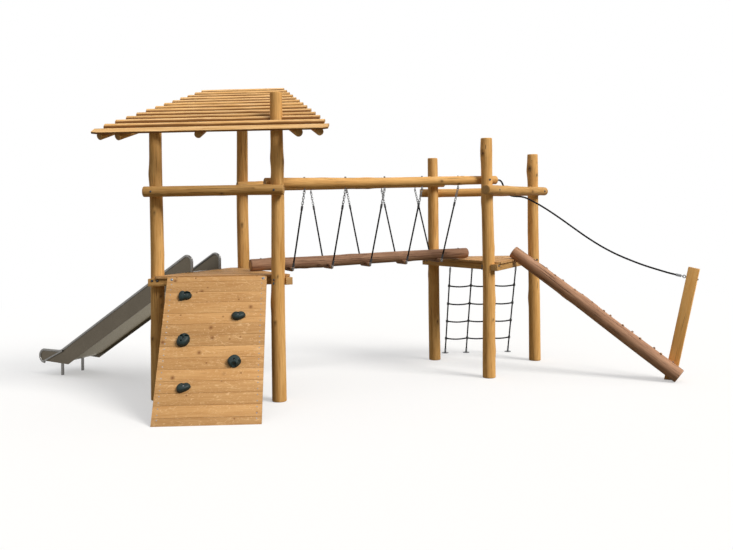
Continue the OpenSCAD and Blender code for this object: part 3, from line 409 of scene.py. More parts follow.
def ramp(fac, stops):
    """Colours or greys at stops, as (position, value)."""
    n = node(fac.id_data, "ValToRGB", Fac=fac)
    els = n.color_ramp.elements
    while len(els) < len(stops):
        els.new(0.5)
    for e, (at, colour) in zip(els, stops):
        e.position = at
        e.color = (*colour, 1) if isinstance(colour, tuple) else (colour, colour, colour, 1)
    return n.outputs["Color"]


def mix(fac, a, b, kind="MIX"):
    """Colour between a, a socket, and b, a socket or a colour."""
    n = node(a.id_data, "Mix", data_type="RGBA", blend_type=kind)
    for i, value in ((0, fac), (6, a), (7, b)):
        feed(n.inputs[i], (*value, 1) if isinstance(value, tuple) else value)
    return n.outputs[2]


def maths(kind, a, b):
    n = node(a.id_data, "Math", operation=kind)
    feed(n.inputs[0], a)
    feed(n.inputs[1], b)
    return n.outputs[0]


def bump(height, strength, distance):
    return node(height.id_data, "Bump", Height=height, Strength=strength, Distance=distance).outputs[0]


def knot_dots(pos, scale, keep):
    """Small round knots on a board's face; keep is the share of cells without one."""
    flat = stretched(pos, (1, 1, 0.6), (math.pi / 2, 0, 0))
    cells = node(pos.id_data, "TexVoronoi", voronoi_dimensions="2D", Vector=flat, Scale=scale, Randomness=1.0)
    near = ramp(cells.outputs["Distance"], [(0.025, 0.85), (0.07, 0.4), (0.13, 0.0)])
    some = ramp(cells.outputs["Color"], [(keep, 0.0), (keep + 0.04, 1.0)])
    return maths("MULTIPLY", near, some)


def wood(name, light, mid, dark, crack, knot=(0.10, 0.045, 0.018), fine=1.0, cracks=0.66, rough=(0.5, 0.75),
         spots=0.0, edge=None, ragged=0.0, depth=0.0015, spread=(0.34, 0.66), fleck=None):
    """Wood whose grain runs along the third axis of the grain attribute.

    fine narrows its streaks, cracks and spots set its fine cracks and small knots, edge colours open cracks,
    and rims that a piece marks with painted shade (over the real wane on slats), ragged makes rims uneven,
    and fleck colours pale scuffs."""
    mat, tree, shader = new_material(name)
    pos = attribute(tree, "grain", "Vector")
    streak = noise(pos, (1, 1, 0.045), 75 * fine, 7, 0.68, 0.3)
    band = noise(pos, (1, 1, 0.09), 17 * fine, 3, 0.55, 0.8)
    patch = noise(pos, (1, 1, 0.4), 4.5, 3)
    split = noise(pos, (1, 1, 0.016), 120, 2, 0.5, 0.2)
    colour = ramp(streak, [(spread[0], dark), (0.5, mid), (spread[1], light)])
    broad = ramp(band, [(0.33, dark), (0.6, light)])
    colour = mix(maths("MULTIPLY", band, 0.75), colour, broad)
    colour = mix(ramp(patch, [(0.42, 0.0), (0.75, 0.55)]), colour, mid)
    shade = maths("ADD", maths("MULTIPLY", attribute(tree, "tone"), TONE_STEP), 1.0)
    colour = mix(1.0, colour, shade, "MULTIPLY")
    gaps = ramp(split, [(cracks, 0.0), (cracks + 0.05, 0.85)])
    colour = mix(gaps, colour, crack)
    if fleck is not None:
        scuff = noise(pos, (1, 1, 0.42), 30, 3, 0.6, 2.5)
        colour = mix(ramp(scuff, [(0.55, 0.0), (0.68, 0.7)]), colour, fleck)
    marks = attribute(tree, "knot")
    if spots:
        for scale, keep in ((spots, 0.66), (2.2 * spots, 0.74)):
            marks = maths("MAXIMUM", marks, knot_dots(pos, scale, keep))
    colour = mix(marks, colour, knot)
    # The edge mark darkens open cracks, and paints shade on marked rims: between boards, under slats, on the
    # fascia's lower face
    if edge is not None:
        uneven = maths("MULTIPLY", maths("SUBTRACT", band, 0.5), ragged)
        rim = maths("ADD", attribute(tree, "edge"), uneven)
        colour = mix(ramp(rim, [(0.42, 0.0), (0.72, 0.9)]), colour, edge)
    gloss = ramp(streak, [(0.25, rough[1]), (0.8, rough[0])])
    height = maths("SUBTRACT", maths("MULTIPLY", streak, 0.5), gaps)
    height = maths("ADD", height, maths("MULTIPLY", band, 0.4))
    put(shader, Base_Color=colour, Roughness=gloss, Specular_IOR_Level=WOOD_SHINE,
        Normal=bump(height, 0.6, depth))
    return mat


def end_grain(name, light, dark):
    """Sawn end with rings round the pith, and pores."""
    mat, tree, shader = new_material(name)
    pos = attribute(tree, "grain", "Vector")
    flat = stretched(pos, (1, 1, 0))
    rings = node(tree, "TexWave", wave_type="RINGS", rings_direction="Z", Vector=flat, Scale=42.0,
                 Distortion=3.0, Detail=3.0, Detail_Scale=1.5).outputs["Fac"]
    pores = noise(pos, (1, 1, 1), 260, 3)
    colour = ramp(rings, [(0.1, dark), (0.75, light)])
    colour = mix(ramp(pores, [(0.45, 0.0), (0.8, 0.6)]), colour, dark)
    put(shader, Base_Color=colour, Roughness=0.82, Normal=bump(rings, 0.3, 0.0008))
    return mat


def metal(name, light, dark, rough, scale, stretch=(1, 1, 1), depth=0.0002, under=None):
    """Metal with streaks or spangle in colour and gloss; under is a painted reflection of the ground on faces
    turned down.
    """
    mat, tree, shader = new_material(name)
    pos = node(tree, "TexCoord").outputs["Object"]
    fleck = noise(pos, stretch, scale, 5, 0.65)
    cloud = noise(pos, (1, 1, 1), 5, 3)
    colour = ramp(fleck, [(0.3, dark), (0.7, light)])
    colour = mix(ramp(cloud, [(0.35, 0.0), (0.8, 0.6)]), colour, dark)
    # Faces turned down get a painted reflection of the ground
    if under is not None:
        normal = node(tree, "NewGeometry").outputs["True Normal"]
        down = maths("MULTIPLY", node(tree, "SeparateXYZ", Vector=normal).outputs["Z"], -1.0)
        colour = mix(ramp(down, [(0.3, 0.0), (0.6, 1.0)]), colour, under)
    gloss = ramp(fleck, [(0.25, rough + 0.1), (0.75, rough - 0.08)])
    put(shader, Base_Color=colour, Roughness=gloss, Metallic=1.0, Normal=bump(fleck, 0.25, depth))
    return mat


def plain(name, light, dark, rough, scale, depth, shine=0.5):
    """Plastic, paint or rubber with a fine texture."""
    mat, tree, shader = new_material(name)
    pos = node(tree, "TexCoord").outputs["Object"]
    grit = noise(pos, (1, 1, 1), scale, 4)
    cloud = noise(pos, (1, 1, 1), 14, 3)
    colour = ramp(cloud, [(0.3, dark), (0.7, light)])
    gloss = ramp(grit, [(0.25, rough + 0.08), (0.75, rough - 0.08)])
    put(shader, Base_Color=colour, Roughness=gloss, Specular_IOR_Level=shine,
        Normal=bump(grit, 0.5, depth))
    return mat


def rope_material(name, light, dark):
    """Rope of fine yarns with dust between them."""
    mat, tree, shader = new_material(name)
    pos = attribute(tree, "grain", "Vector")
    yarn = noise(pos, (1, 1, 0.25), 700, 3)
    dust = noise(pos, (1, 1, 1), 22, 3)
    colour = ramp(yarn, [(0.3, dark), (0.75, light)])
    colour = mix(ramp(dust, [(0.4, 0.0), (0.8, 0.5)]), colour, light)
    put(shader, Base_Color=colour, Roughness=0.85, Specular_IOR_Level=ROPE_SHINE,
        Normal=bump(yarn, 0.6, 0.0008))
    return mat


# How much a tone of one brightens wood, and the shine of dry wood and of rope
TONE_STEP, WOOD_SHINE, ROPE_SHINE = 0.13, 0.15, 0.1

LOG_WOOD = wood(
    "peeled log", (0.79, 0.48, 0.185), (0.65, 0.355, 0.115), (0.42, 0.195, 0.048), (0.13, 0.05, 0.014),
    edge=(0.05, 0.02, 0.008))
LOG_END = end_grain("peeled log end", (0.60, 0.36, 0.14), (0.32, 0.16, 0.05))
BEAM_WOOD = wood(
    "sawn beam", (0.64, 0.375, 0.135), (0.51, 0.275, 0.088), (0.32, 0.155, 0.046), (0.11, 0.045, 0.016),
    fine=1.3)
# Board wood's edge colour is painted shade on the boards' rounded rims, where the joints between them fall
# dark
BOARD_WOOD = wood(
    "board", (0.62, 0.365, 0.155), (0.53, 0.285, 0.108), (0.39, 0.19, 0.064), (0.18, 0.08, 0.028),
    knot=(0.20, 0.075, 0.025), fine=1.1, cracks=0.73, spots=7.0, depth=0.0008, spread=(0.3, 0.68),
    fleck=(0.74, 0.49, 0.26), edge=(0.20, 0.088, 0.028))
# Slat wood's edge colour is the slats' wane, darkened further as painted shade on their lower rims
SLAT_WOOD = wood(
    "roof slat", (0.90, 0.61, 0.31), (0.75, 0.44, 0.165), (0.44, 0.205, 0.052), (0.16, 0.065, 0.022),
    edge=(0.19, 0.066, 0.012), ragged=0.9, cracks=0.7)
WALK_WOOD = wood(
    "walking log", (0.42, 0.25, 0.155), (0.30, 0.165, 0.10), (0.18, 0.088, 0.054), (0.05, 0.022, 0.013),
    knot=(0.05, 0.024, 0.014), cracks=0.62, rough=(0.6, 0.85), edge=(0.03, 0.014, 0.008))
WALK_END = end_grain("walking log end", (0.66, 0.39, 0.17), (0.34, 0.18, 0.07))
# Rope post wood is brightened as painted light, for its face turned away from the key lamp
POST_WOOD = wood(
    "rope post wood", (0.94, 0.57, 0.22), (0.90, 0.49, 0.16), (0.74, 0.36, 0.09), (0.14, 0.05, 0.015))
# Materials of a log's or board's length and of its sawn ends
PEELED, SAWN_BEAM, BOARD = [LOG_WOOD, LOG_END], [BEAM_WOOD, LOG_END], [BOARD_WOOD, LOG_END]
SLAT, WALK, ROPE_POST = [SLAT_WOOD, LOG_END], [WALK_WOOD, WALK_END], [POST_WOOD, LOG_END]
# Steel of the slide's walls, kept dark and brownish as a painted reflection of its dark surroundings
STEEL = metal("brushed steel", (0.15, 0.128, 0.097), (0.095, 0.08, 0.059), 0.34, 60, (1, 1, 6))
# Steel of the slide's bed, with a painted reflection of the ground on faces turned down
BED_STEEL = metal(
    "bed steel", (0.46, 0.45, 0.43), (0.33, 0.32, 0.30), 0.30, 60, (1, 1, 6), under=(0.14, 0.10, 0.022))
# Tubes of the rims and legs, darkened as a painted reflection of their dark surroundings
TUBE = metal("steel tube", (0.29, 0.282, 0.27), (0.18, 0.174, 0.164), 0.28, 40, depth=0.0001)
ZINC = metal("galvanised steel", (0.28, 0.285, 0.29), (0.14, 0.143, 0.147), 0.42, 160)
SCREW = metal("dull screw", (0.40, 0.40, 0.41), (0.26, 0.26, 0.27), 0.5, 300)
BLACK = plain("black bolt", (0.035, 0.035, 0.036), (0.02, 0.02, 0.02), 0.45, 300, 0.0003)
RUBBER = plain("black sleeve", (0.03, 0.03, 0.032), (0.016, 0.016, 0.017), 0.55, 400, 0.0003)
HOLD = plain("hold resin", (0.010, 0.026, 0.025), (0.005, 0.014, 0.014), 0.5, 520, 0.0006, shine=0.3)
ROPE = rope_material("black rope", (0.026, 0.026, 0.028), (0.007, 0.007, 0.008))

# Hand rope, from the front bridge beam's end behind and under the rail to the rope post

HAND_ROPE = [
    (3.774, 1.545, 2.386), (3.800, 1.562, 2.381), (3.822, 1.590, 2.363), (3.840, 1.625, 2.331),
    (3.862, 1.670, 2.288), (3.886, 1.710, 2.246), (3.920, 1.745, 2.210), (3.966, 1.773, 2.190),
    (4.020, 1.788, 2.184), (4.076, 1.790, 2.179), (4.136, 1.780, 2.163), (4.210, 1.759, 2.125),
    (4.300, 1.732, 2.072), (4.420, 1.696, 1.991), (4.560, 1.654, 1.888), (4.700, 1.612, 1.780),
    (4.840, 1.570, 1.674), (5.000, 1.522, 1.565), (5.160, 1.474, 1.474), (5.320, 1.426, 1.400),
    (5.480, 1.378, 1.336), (5.640, 1.332, 1.283), (5.740, 1.302, 1.252), (5.812, 1.275, 1.234),
]


def make_hand_rope():
    laid = Build()
    path, length = rope(laid, HAND_ROPE, HAND_ROPE_R)
    obj = laid.make("hand_rope_laid", [ROPE], "frame", ["hand_rope"], ROPE_SHARP)


make_hand_rope()

# Copies of solids with softened edges

# Points this close are one; angles in degrees at which faces are one, edges are rounded and shading breaks
ONE_POINT, ONE_FACE, ROUNDED, BREAK = 2e-5, 0.6, 50, 35
# A face whose normal lies this much along the grain is a sawn end
SAWN = 0.85


def islands_of(bm):
    """Number of each vertex's separate piece, and how many there are."""
    bm.verts.index_update()
    label = [-1] * len(bm.verts)
    count = 0
    for start in bm.verts:
        if label[start.index] >= 0:
            continue
        stack = [start]
        label[start.index] = count
        while stack:
            for e in stack.pop().link_edges:
                for v in e.verts:
                    if label[v.index] < 0:
                        label[v.index] = count
                        stack.append(v)
        count += 1
    return np.array(label), count


def dress(name, mats, bevel, seed, axis=None):
    """Replaces a node by its own shape with rounded edges, its grain along each piece or along axis."""
    rng = random.Random(seed)
    source = NODES[name]
    bm = bmesh.new()
    bm.from_mesh(source.data)
    bm.transform(source.matrix_world)
    bmesh.ops.remove_doubles(bm, verts=bm.verts, dist=ONE_POINT)
    bmesh.ops.dissolve_limit(bm, angle_limit=math.radians(ONE_FACE), verts=bm.verts, edges=bm.edges)
    edges = [e for e in bm.edges if len(e.link_faces) == 2 and e.calc_face_angle(0) > math.radians(ROUNDED)]
    bevelled_faces = set(bmesh.ops.bevel(bm, geom=edges, offset=bevel, segments=2, profile=0.6, affect="EDGES",
                               clamp_overlap=True)["faces"])
    label, count = islands_of(bm)
    at = np.array([v.co[:] for v in bm.verts])
    grain = np.zeros_like(at)
    marks = np.zeros_like(at)
    ways = []
    for i in range(count):
        mine = label == i
        p = at[mine] - at[mine].mean(0)
        longest = axis if axis is not None else np.linalg.svd(p, full_matrices=False)[2][0]
        u, w, along = frame_of(longest)
        shift = np.array([rng.uniform(-0.3, 0.3), rng.uniform(0.05, 0.3), rng.uniform(0, 40)])
        grain[mine] = np.stack([p @ u, p @ w, p @ along], 1) + shift
        marks[mine, 1] = rng.uniform(-1, 1)
        ways.append(along)
    for f in bm.faces:
        sawn = abs(np.dot(ways[label[f.verts[0].index]], f.normal[:])) > SAWN
        f.material_index = 1 if sawn else 0
    # Rounded faces carry the edge mark, which board wood paints as shade between the boards
    rims = [float(f in bevelled_faces) for f in bm.faces]
    mesh = bpy.data.meshes.new(name + "_wood")
    bm.to_mesh(mesh)
    bm.free()
    put_grain(mesh, grain, marks, rims)
    as_piece(name + "_dressed", mesh, mats, "frame", [name], BREAK)


def paint(mat, *names):
    """Gives the solids of these nodes a material."""
    for name in names:
        mesh = NODES[name].data
        mesh.materials.clear()
        mesh.materials.append(mat)


# Towers

# Heights of the posts that pass or have no roof, over their decks
TALL_TOP, FRONT_TOP, RIGHT_TOP, LEFT_TOP = 1.955, 1.49, 1.36, 1.332
# Large knots on the posts, as (height, turn, size)
POST_KNOTS = {
    "post_b_front": [(2.74, 3.5, 1.9), (2.70, 5.9, 1.5)],
    "post_b_right": [(2.56, 5.8, 2.0)],
    "post_a_front_right": [(1.05, 4.4, 1.3), (2.6, 5.0, 1.2)],
    "post_a_front_left": [(2.45, 4.9, 1.4)],
}
# Rails by the numbers of their posts, how far they pass them, and their tone; the front rail's dark tone is
# painted shade from the roof above it
RAILS = [
    ("rail_a_front", 0, 1, 0.096, 0.096, -1.6), ("rail_b_front", 3, 4, 0.258, 0.111, -1.2),
    ("rail_b_back", 4, 5, 0.096, 0.18, 0.0),
]
RAIL_TAPER = 0.002
# The roof's underside: height and place of its near edge, its middle and its pitch
ROOF_Z, ROOF_FRONT, ROOF_MID, PITCH = 2.86, 0.35, SIDE / 2 + 0.012, math.radians(22.5)
# Slats: number, width, length of the roof's near and far edge, place of the first, spacing and how it narrows
SLATS, SLAT_W, NEAR_W, FAR_W = 12, 0.094, 2.66, 0.98
SLAT_FIRST, SLAT_PITCH, SLAT_NARROWING = 0.26, 0.145, 0.0037
SLAT_SHORT, SLAT_STEP, SLAT_SEG = 0.004, 0.022, 22
# Fascia board with cut tips, 15 mm wider than its solid towards the slats; its section is a list of (share of
# the width, share of the thickness, painted shade)
FASCIA_L, FASCIA_W, FASCIA_T, FASCIA_TIP, FASCIA_CUT = 2.52, 0.14, 0.026, 0.06, 0.024
FASCIA_STEPS, FASCIA_WAVE, FASCIA_TONE = 90, 0.0025, -0.7
FASCIA_SECTION = [
    (1, 0, 0.9), (1, 0.8, 0.9), (0.985, 0.95, 0.8), (0.95, 0.99, 0.62), (0.86, 1, 0.1), (0.5, 1, 0),
    (0.1, 1, 0), (0.03, 0.97, 0), (0, 0.85, 0.3), (0, 0.5, 0.9), (0.015, 0.12, 1), (0.05, 0, 1),
]
# Rafters: thickness, depth planed off, near ends, how far they pass the back post, taper
RAFTER_D, RAFTER_FLAT, RAFTER_NEAR, RAFTER_PAST, RAFTER_TAPER = 0.088, 0.009, 0.026, 0.09, 0.002
MID_RAFTER_D, MID_RAFTER_LEFT = RAFTER_D - 0.006, 0.11
EDGE_RAFTER_D, EDGE_IN, EDGE_SHORT = RAFTER_D - 0.008, 0.14, 0.03


def at_roof(p):
    """World points from roof points: x along the near edge, y up the slope, z out of the underside."""
    x, y, z = np.asarray(p, float).T
    c, s = math.cos(PITCH), math.sin(PITCH)
    return np.stack([ROOF_MID + x, y * c - z * s - ROOF_FRONT, ROOF_Z + y * s + z * c], -1)


def on_roof(p):
    """Roof points from world points."""
    x, y, z = p.T
    c, s = math.cos(PITCH), math.sin(PITCH)
    y, z = y + ROOF_FRONT, z - ROOF_Z
    return np.stack([x - ROOF_MID, y * c + z * s, z * c - y * s], -1)


def roof_top(y):
    """Height of the roof's underside above a place on the ground."""
    return ROOF_Z + (y + ROOF_FRONT) * math.tan(PITCH)


def under_roof(points):
    """Saws off what stands above the roof's underside."""
    points[:, 2] = np.minimum(points[:, 2], roof_top(points[:, 1]))
    return points


def flat_topped(points):
    """Planes a rafter flat at the roof's underside."""
    local = on_roof(points)
    local[:, 2] = np.minimum(local[:, 2], 0)
    return at_roof(local)


def slat_y(i):
    """Place of a slat's middle up the roof, slats counted from one."""
    return SLAT_FIRST + (i - 1) * SLAT_PITCH - (i - 1) * (i - 2) / 2 * SLAT_NARROWING


ROOF_LEN = slat_y(SLATS) + SLAT_W / 2


def slat_half(y):
    """Half the roof's width at a distance up the slope."""
    return (NEAR_W + (FAR_W - NEAR_W) * y / ROOF_LEN) / 2


def make_posts():
    posts = [
        ("post_a_front_left", roof_top(2 * POST_R), under_roof, 0.3),
        ("post_a_front_right", DECK + TALL_TOP, None, 0.5),
        ("post_a_back", roof_top(TRI + 2 * POST_R), under_roof, 0.4),
        ("post_b_front", DECK + RISE + FRONT_TOP, None, 1.5),
        ("post_b_right", DECK + RISE + RIGHT_TOP, None, 1.4),
        ("post_b_left", DECK + RISE + LEFT_TOP, None, 0.6),
    ]
    for i, (name, top, shape, tone) in enumerate(posts):
        post = Build()
        x, y = POSTS[i]
        log(post, (x, y, 0), (x, y, top), POST_R, post_r(top), 20 + i, bow=0.008, knots=7, end=0.008,
            given=POST_KNOTS.get(name, ()), shape=shape, tone=tone)
        post.make(name + "_log", PEELED, "frame", [name])


def make_rails():
    for n, (name, i, j, over0, over1, tone) in enumerate(RAILS):
        d = (POSTS[j] - POSTS[i]) / SIDE
        off = RAIL_OFF * np.array([d[1], -d[0]])
        p, q = POSTS[i] - over0 * d + off, POSTS[j] + over1 * d + off
        rail = Build()
        log(rail, (*p, RAIL_Z), (*q, RAIL_Z), RAIL_R, RAIL_R - RAIL_TAPER, 40 + n, bow=0.006, knots=5,
            end=0.007, tone=tone)
        rail.make(name + "_log", PEELED, "frame", [name])


def make_rafters():
    off = post_r(ROOF_Z) + RAFTER_D / 2 - NOTCH
    near, far = RAFTER_NEAR - ROOF_FRONT, TRI + RAFTER_PAST

    def along(p, a, y):
        """Roof point over the line from p at angle a, where it reaches y."""
        q = p + (y - p[1]) / math.sin(math.radians(a)) * way(a)
        return np.array([q[0] - ROOF_MID, (q[1] + ROOF_FRONT) / math.cos(PITCH)])

    left, right = POSTS[0] + off * way(150), POSTS[1] + off * way(30)
    mid = np.array([ROOF_MID - MID_RAFTER_LEFT, near])
    lines = [
        (along(left, 60, near), along(left, 60, far), RAFTER_D),
        (along(right, 120, near), along(right, 120, far), RAFTER_D),
        (along(mid, 90, near), along(POSTS[2], 90, POSTS[2][1]), MID_RAFTER_D),
    ]
    for s in (-1, 1):
        low = np.array([s * (slat_half(RAFTER_NEAR) - EDGE_IN), RAFTER_NEAR])
        high = np.array([s * (slat_half(ROOF_LEN) - EDGE_IN), ROOF_LEN - EDGE_SHORT])
        lines.append((low, high, EDGE_RAFTER_D))
    rafters = Build()
    for n, (p, q, d) in enumerate(lines):
        ends = at_roof([(*p, RAFTER_FLAT - d / 2), (*q, RAFTER_FLAT - d / 2)])
        log(rafters, ends[0], ends[1], d / 2, d / 2 - RAFTER_TAPER, 60 + n, bow=0.004, knots=4, end=0.006,
            shape=flat_topped)
    rafters.make("roof_rafter_logs", PEELED, "frame", ["roof_rafters"])


def make_slats():
    slats = Build()
    seg = SLAT_SEG
    for i in range(1, SLATS + 1):
        rng = random.Random(100 + i)
        y = slat_y(i)
        half = slat_half(y) - SLAT_SHORT
        xs = np.linspace(-half, half, int(half / SLAT_STEP))
        along, turn = np.meshgrid(xs, np.linspace(0, math.pi, seg), indexing="ij")
        bulge = 0.035 * wave(wobble(rng, 5, 2, 12), along)
        ripple = 0.02 * wave(wobble(rng, 4, 8, 30), along)
        r = SLAT_W / 2 * (0.97 + bulge + ripple)
        r = r * (1 + 0.05 * wave(wobble(rng, 3, 1.5, 4), turn + 0.8 * along))
        drift = 0.003 * wave(wobble(rng, 3, 1, 4), along)
        high = 0.82 + 0.1 * rng.random()
        across, up = r * np.cos(turn), r * np.sin(turn)
        local = np.stack([along, y + drift + across, high * r * np.sin(turn)], -1).reshape(-1, 3)
        faces = [face[::-1] for face in grid_faces(len(xs), seg, False)]
        for k in range(len(xs) - 1):
            faces.append([k * seg, k * seg + seg - 1, (k + 1) * seg + seg - 1, (k + 1) * seg])
        sides = len(faces)
        faces.append(list(range(seg)))
        faces.append([(len(xs) - 1) * seg + j for j in range(seg)][::-1])
        # Darkness of each slat's lower rims: its wane and painted shade
        rim = np.abs(np.cos(turn)).ravel() ** 1.2
        grain = np.stack([across.ravel(), up.ravel() + 0.02, along.ravel()], 1)
        grain += np.array([0, 0, rng.uniform(0, 60)])
        slats.add(at_roof(local), faces, [0] * sides + [1, 1], grain, tone=rng.uniform(-1, 1), edge=rim)
    slats.make("roof_slat_halves", SLAT, "frame")


def make_fascia():
    rng = random.Random(99)
    front, back = FASCIA_L / 2, slat_half(FASCIA_W)
    us = np.linspace(-1, 1, FASCIA_STEPS)
    tip = FASCIA_CUT * np.clip((np.abs(us) * front - front + FASCIA_TIP) / FASCIA_TIP, 0, 1)
    tip = tip + FASCIA_WAVE * (1 + wave(wobble(rng, 4, 4, 14), us))
    rings = []
    # The section's third value paints shade on the board's underside, back and lower front
    for share, high, rim in FASCIA_SECTION:
        y = tip + share * (FASCIA_W - tip)
        half = front + (back - front) * np.clip((y - FASCIA_CUT) / (FASCIA_W - FASCIA_CUT), 0, 1)
        rings.append(np.stack([us * half, y, 0 * us + high * FASCIA_T, 0 * us + rim], -1))
    local = np.stack(rings, 1).reshape(-1, 4)
    faces = [face[::-1] for face in tube_faces(len(us), len(FASCIA_SECTION))]
    grain = np.stack([local[:, 1], local[:, 2] + 0.05, local[:, 0] + 7], 1)
    board = Build()
    board.add(at_roof(local[:, :3]), faces, [0] * (len(faces) - 2) + [1, 1], grain, tone=FASCIA_TONE,
              edge=local[:, 3])
    board.make("roof_fascia", SLAT, "frame", ["roof_slats"])


def make_tower_timber():
    beams = ("beam_a_front", "beam_a_right", "beam_a_left", "beam_b_right", "beam_b_back", "beam_b_left")
    for n, name in enumerate(beams):
        dress(name, SAWN_BEAM, 0.004, 200 + n)
    for tower, name in enumerate(("deck_a_boards", "deck_b_boards")):
        dress(name, BOARD, 0.003, 220 + tower, (*way(60 * tower + SKEW), 0))
    paint(BLACK, "frame_bolts")


make_posts()
make_rails()
make_rafters()
make_slats()
make_fascia()
make_tower_timber()

# Bridge

BRIDGE_Z, BRIDGE_Y, BRIDGE_X0, BRIDGE_X1, BRIDGE_X2 = 2.337, 0.55212, -0.1, 2.855, 2.75
BRIDGE_R1, BRIDGE_R2 = 0.059, 0.051
LOG_Z, LOG_OVER, LOG_R1, LOG_R2 = 1.428, 0.112, 0.062, 0.058
# The log's radius is this much over its solid's and its axis as much lower, so its top stays the same
LOG_SWELL = 0.006
BAR_DROP, BAR_HALF, BAR_R, BAR_EYE = 0.072, 0.111, 0.026, 0.132
EYE_DROP, HANGER_X = 0.085, [0.355 + 0.49 * i for i in range(5)]
# Hanger ropes: start and end of their sleeves below the eyebolts, and how deep the ropes go in
ROPE_FROM, ROPE_TO, ROPE_DEEP = 0.1912, 0.9569, 0.03
SLEEVE_R, SLEEVE_L, SLEEVE_CONE, SLEEVE_EDGE = 0.013, 0.056, 0.008, 0.0015
SLEEVE = [
    (SLEEVE_R - SLEEVE_EDGE, 0), (SLEEVE_R, SLEEVE_EDGE), (SLEEVE_R, SLEEVE_L - SLEEVE_CONE),
    (ROPE_R + 0.001, SLEEVE_L), (ROPE_R - 0.002, SLEEVE_L),
]
# The hanger and net ropes are laid this much fuller than their solids
FULL = 1.25


def make_bridge_beams():
    def r(x):
        """Radius of a bridge beam at a distance along it."""
        return BRIDGE_R1 + (BRIDGE_R2 - BRIDGE_R1) * (x - BRIDGE_X0) / (BRIDGE_X1 - BRIDGE_X0)

    beams = (("bridge_beam_front", -BRIDGE_Y, BRIDGE_X1, 0.8), ("bridge_beam_back", BRIDGE_Y, BRIDGE_X2, 0.0))
    for n, (name, y, x1, tone) in enumerate(beams):
        beam = Build()
        log(beam, at_bridge(BRIDGE_X0, y, BRIDGE_Z), at_bridge(x1, y, BRIDGE_Z), r(BRIDGE_X0), r(x1), 70 + n,
            bow=0.006, knots=9, end=0.007, tone=tone)
        beam.make(name + "_log", PEELED, "frame", [name])
    paint(ZINC, "bridge_eyebolts")


def make_walking_log():
    walk = Build()
    z = LOG_Z - LOG_SWELL
    log(walk, at_bridge(-LOG_OVER, 0, z), at_bridge(GAP + LOG_OVER, 0, z), LOG_R1 + LOG_SWELL,
        LOG_R2 + LOG_SWELL, 81, bow=0.004, lump=0.022, knots=12, end=0.014, tone=0.2)
    walk.make("bridge_walking_log", WALK, "bridge_log", ["bridge_log"])
    bars = Build()
    for n, x in enumerate(HANGER_X):
        ends = [at_bridge(x, y, LOG_Z - BAR_DROP) for y in (-BAR_HALF, BAR_HALF)]
        log(bars, ends[0], ends[1], BAR_R, BAR_R, 90 + n, bow=0.0, lump=0.012, knots=1, end=0.004, seg=28,
            step=0.015, knot_size=0.01)
    bars.make("log_cross_bar_rounds", WALK, "bridge_log", ["log_cross_bars"])
    paint(ZINC, "log_bar_eyes")
    paint(BLACK, "log_bolts")


def make_hangers():
    for i, x in enumerate(HANGER_X):
        name = f"hanger_{i + 1}"
        ropes = Build()
        for s in (-1, 1):
            top = at_bridge(x, s * BRIDGE_Y, BRIDGE_Z - EYE_DROP)
            low = at_bridge(x, s * BAR_EYE, LOG_Z - BAR_DROP)
            d = (low - top) / np.linalg.norm(low - top)
            rope(ropes, [top + d * (ROPE_FROM + ROPE_DEEP), top + d * (ROPE_TO - ROPE_DEEP)], ROPE_R, FULL)
            lathe(ropes, SLEEVE, top + d * ROPE_FROM, d, 24, 1)
            lathe(ropes, SLEEVE, top + d * ROPE_TO, -d, 24, 1)
        ropes.make(name + "_laid_ropes", [ROPE, RUBBER], name, [name + "_ropes"], ROPE_SHARP)
        paint(ZINC, name + "_chains", name + "_fittings")


make_bridge_beams()
make_walking_log()
make_hangers()

# Climbing wall, slide, net and ramp

WALL_FOOT, WALL_TOP, WALL_RIGHT, WALL_W = 1.043, 0.1, 0.015, 1.05
WALL_TOP_Z = DECK - 0.008
WALL_LEN = math.hypot(WALL_FOOT - WALL_TOP, WALL_TOP_Z)
WALL_BOARD, WALL_TOP_BOARD, WALL_BOARDS = 0.125, 0.058, 12
# Screws in from the wall's sides and to both sides of a board's middle, and bolts in the top board
SCREW_IN, SCREW_OFF, FOOT_SCREW_UP, BOLT_X, SUNK = 0.05, 0.032, 0.02, (-0.478, 0.488), 0.001
SCREW_HEAD = [(0.006, 0), (0.006, 0.0014), (0.0046, 0.0024), (0.0016, 0.002)]
BOLT_HEAD = [(0.016, 0), (0.016, 0.003), (0.011, 0.0032), (0.0105, 0.007), (0.007, 0.0095), (0.002, 0.010)]
# Net: distance of its foot and head from the beam, its top, foot plates, spacings, sag of its cross ropes,
# and how far its uprights reach into their eyes and sleeves
NET_FOOT, NET_HEAD, NET_TOP_Z, NET_PLATE = 0.58, 0.028, 1.243, 0.008
NET_PITCH, NET_ROW, NET_ROW_PITCH, NET_SAG = 0.298, 0.235, 0.28, 0.018
NET_EYE, NET_SLEEVE, NET_DEEP = 0.07, 0.06, 0.02
NET_UPRIGHTS, NET_ROWS = 4, 4
RAMP_SIDE, RAMP_REACH, RAMP_TOP, RAMP_FOOT_Z, RAMP_HEAD_Z = -0.04, 1.99, 0.03, 0.06512, 1.487
RAMP_R1, RAMP_R2 = 0.088, 0.079


def on_wall(x, y, out=0.0):
    """Point on the climbing wall and its normal: x from its middle, y up it, out of its face."""
    foot = at_edge(0, 0, WALL_RIGHT + x, WALL_FOOT, 0)
    head = at_edge(0, 0, WALL_RIGHT + x, WALL_TOP, WALL_TOP_Z)
    up = (head - foot) / np.linalg.norm(head - foot)
    face = np.cross((*way(SKEW), 0), up)
    return foot + y * up + out * face, face


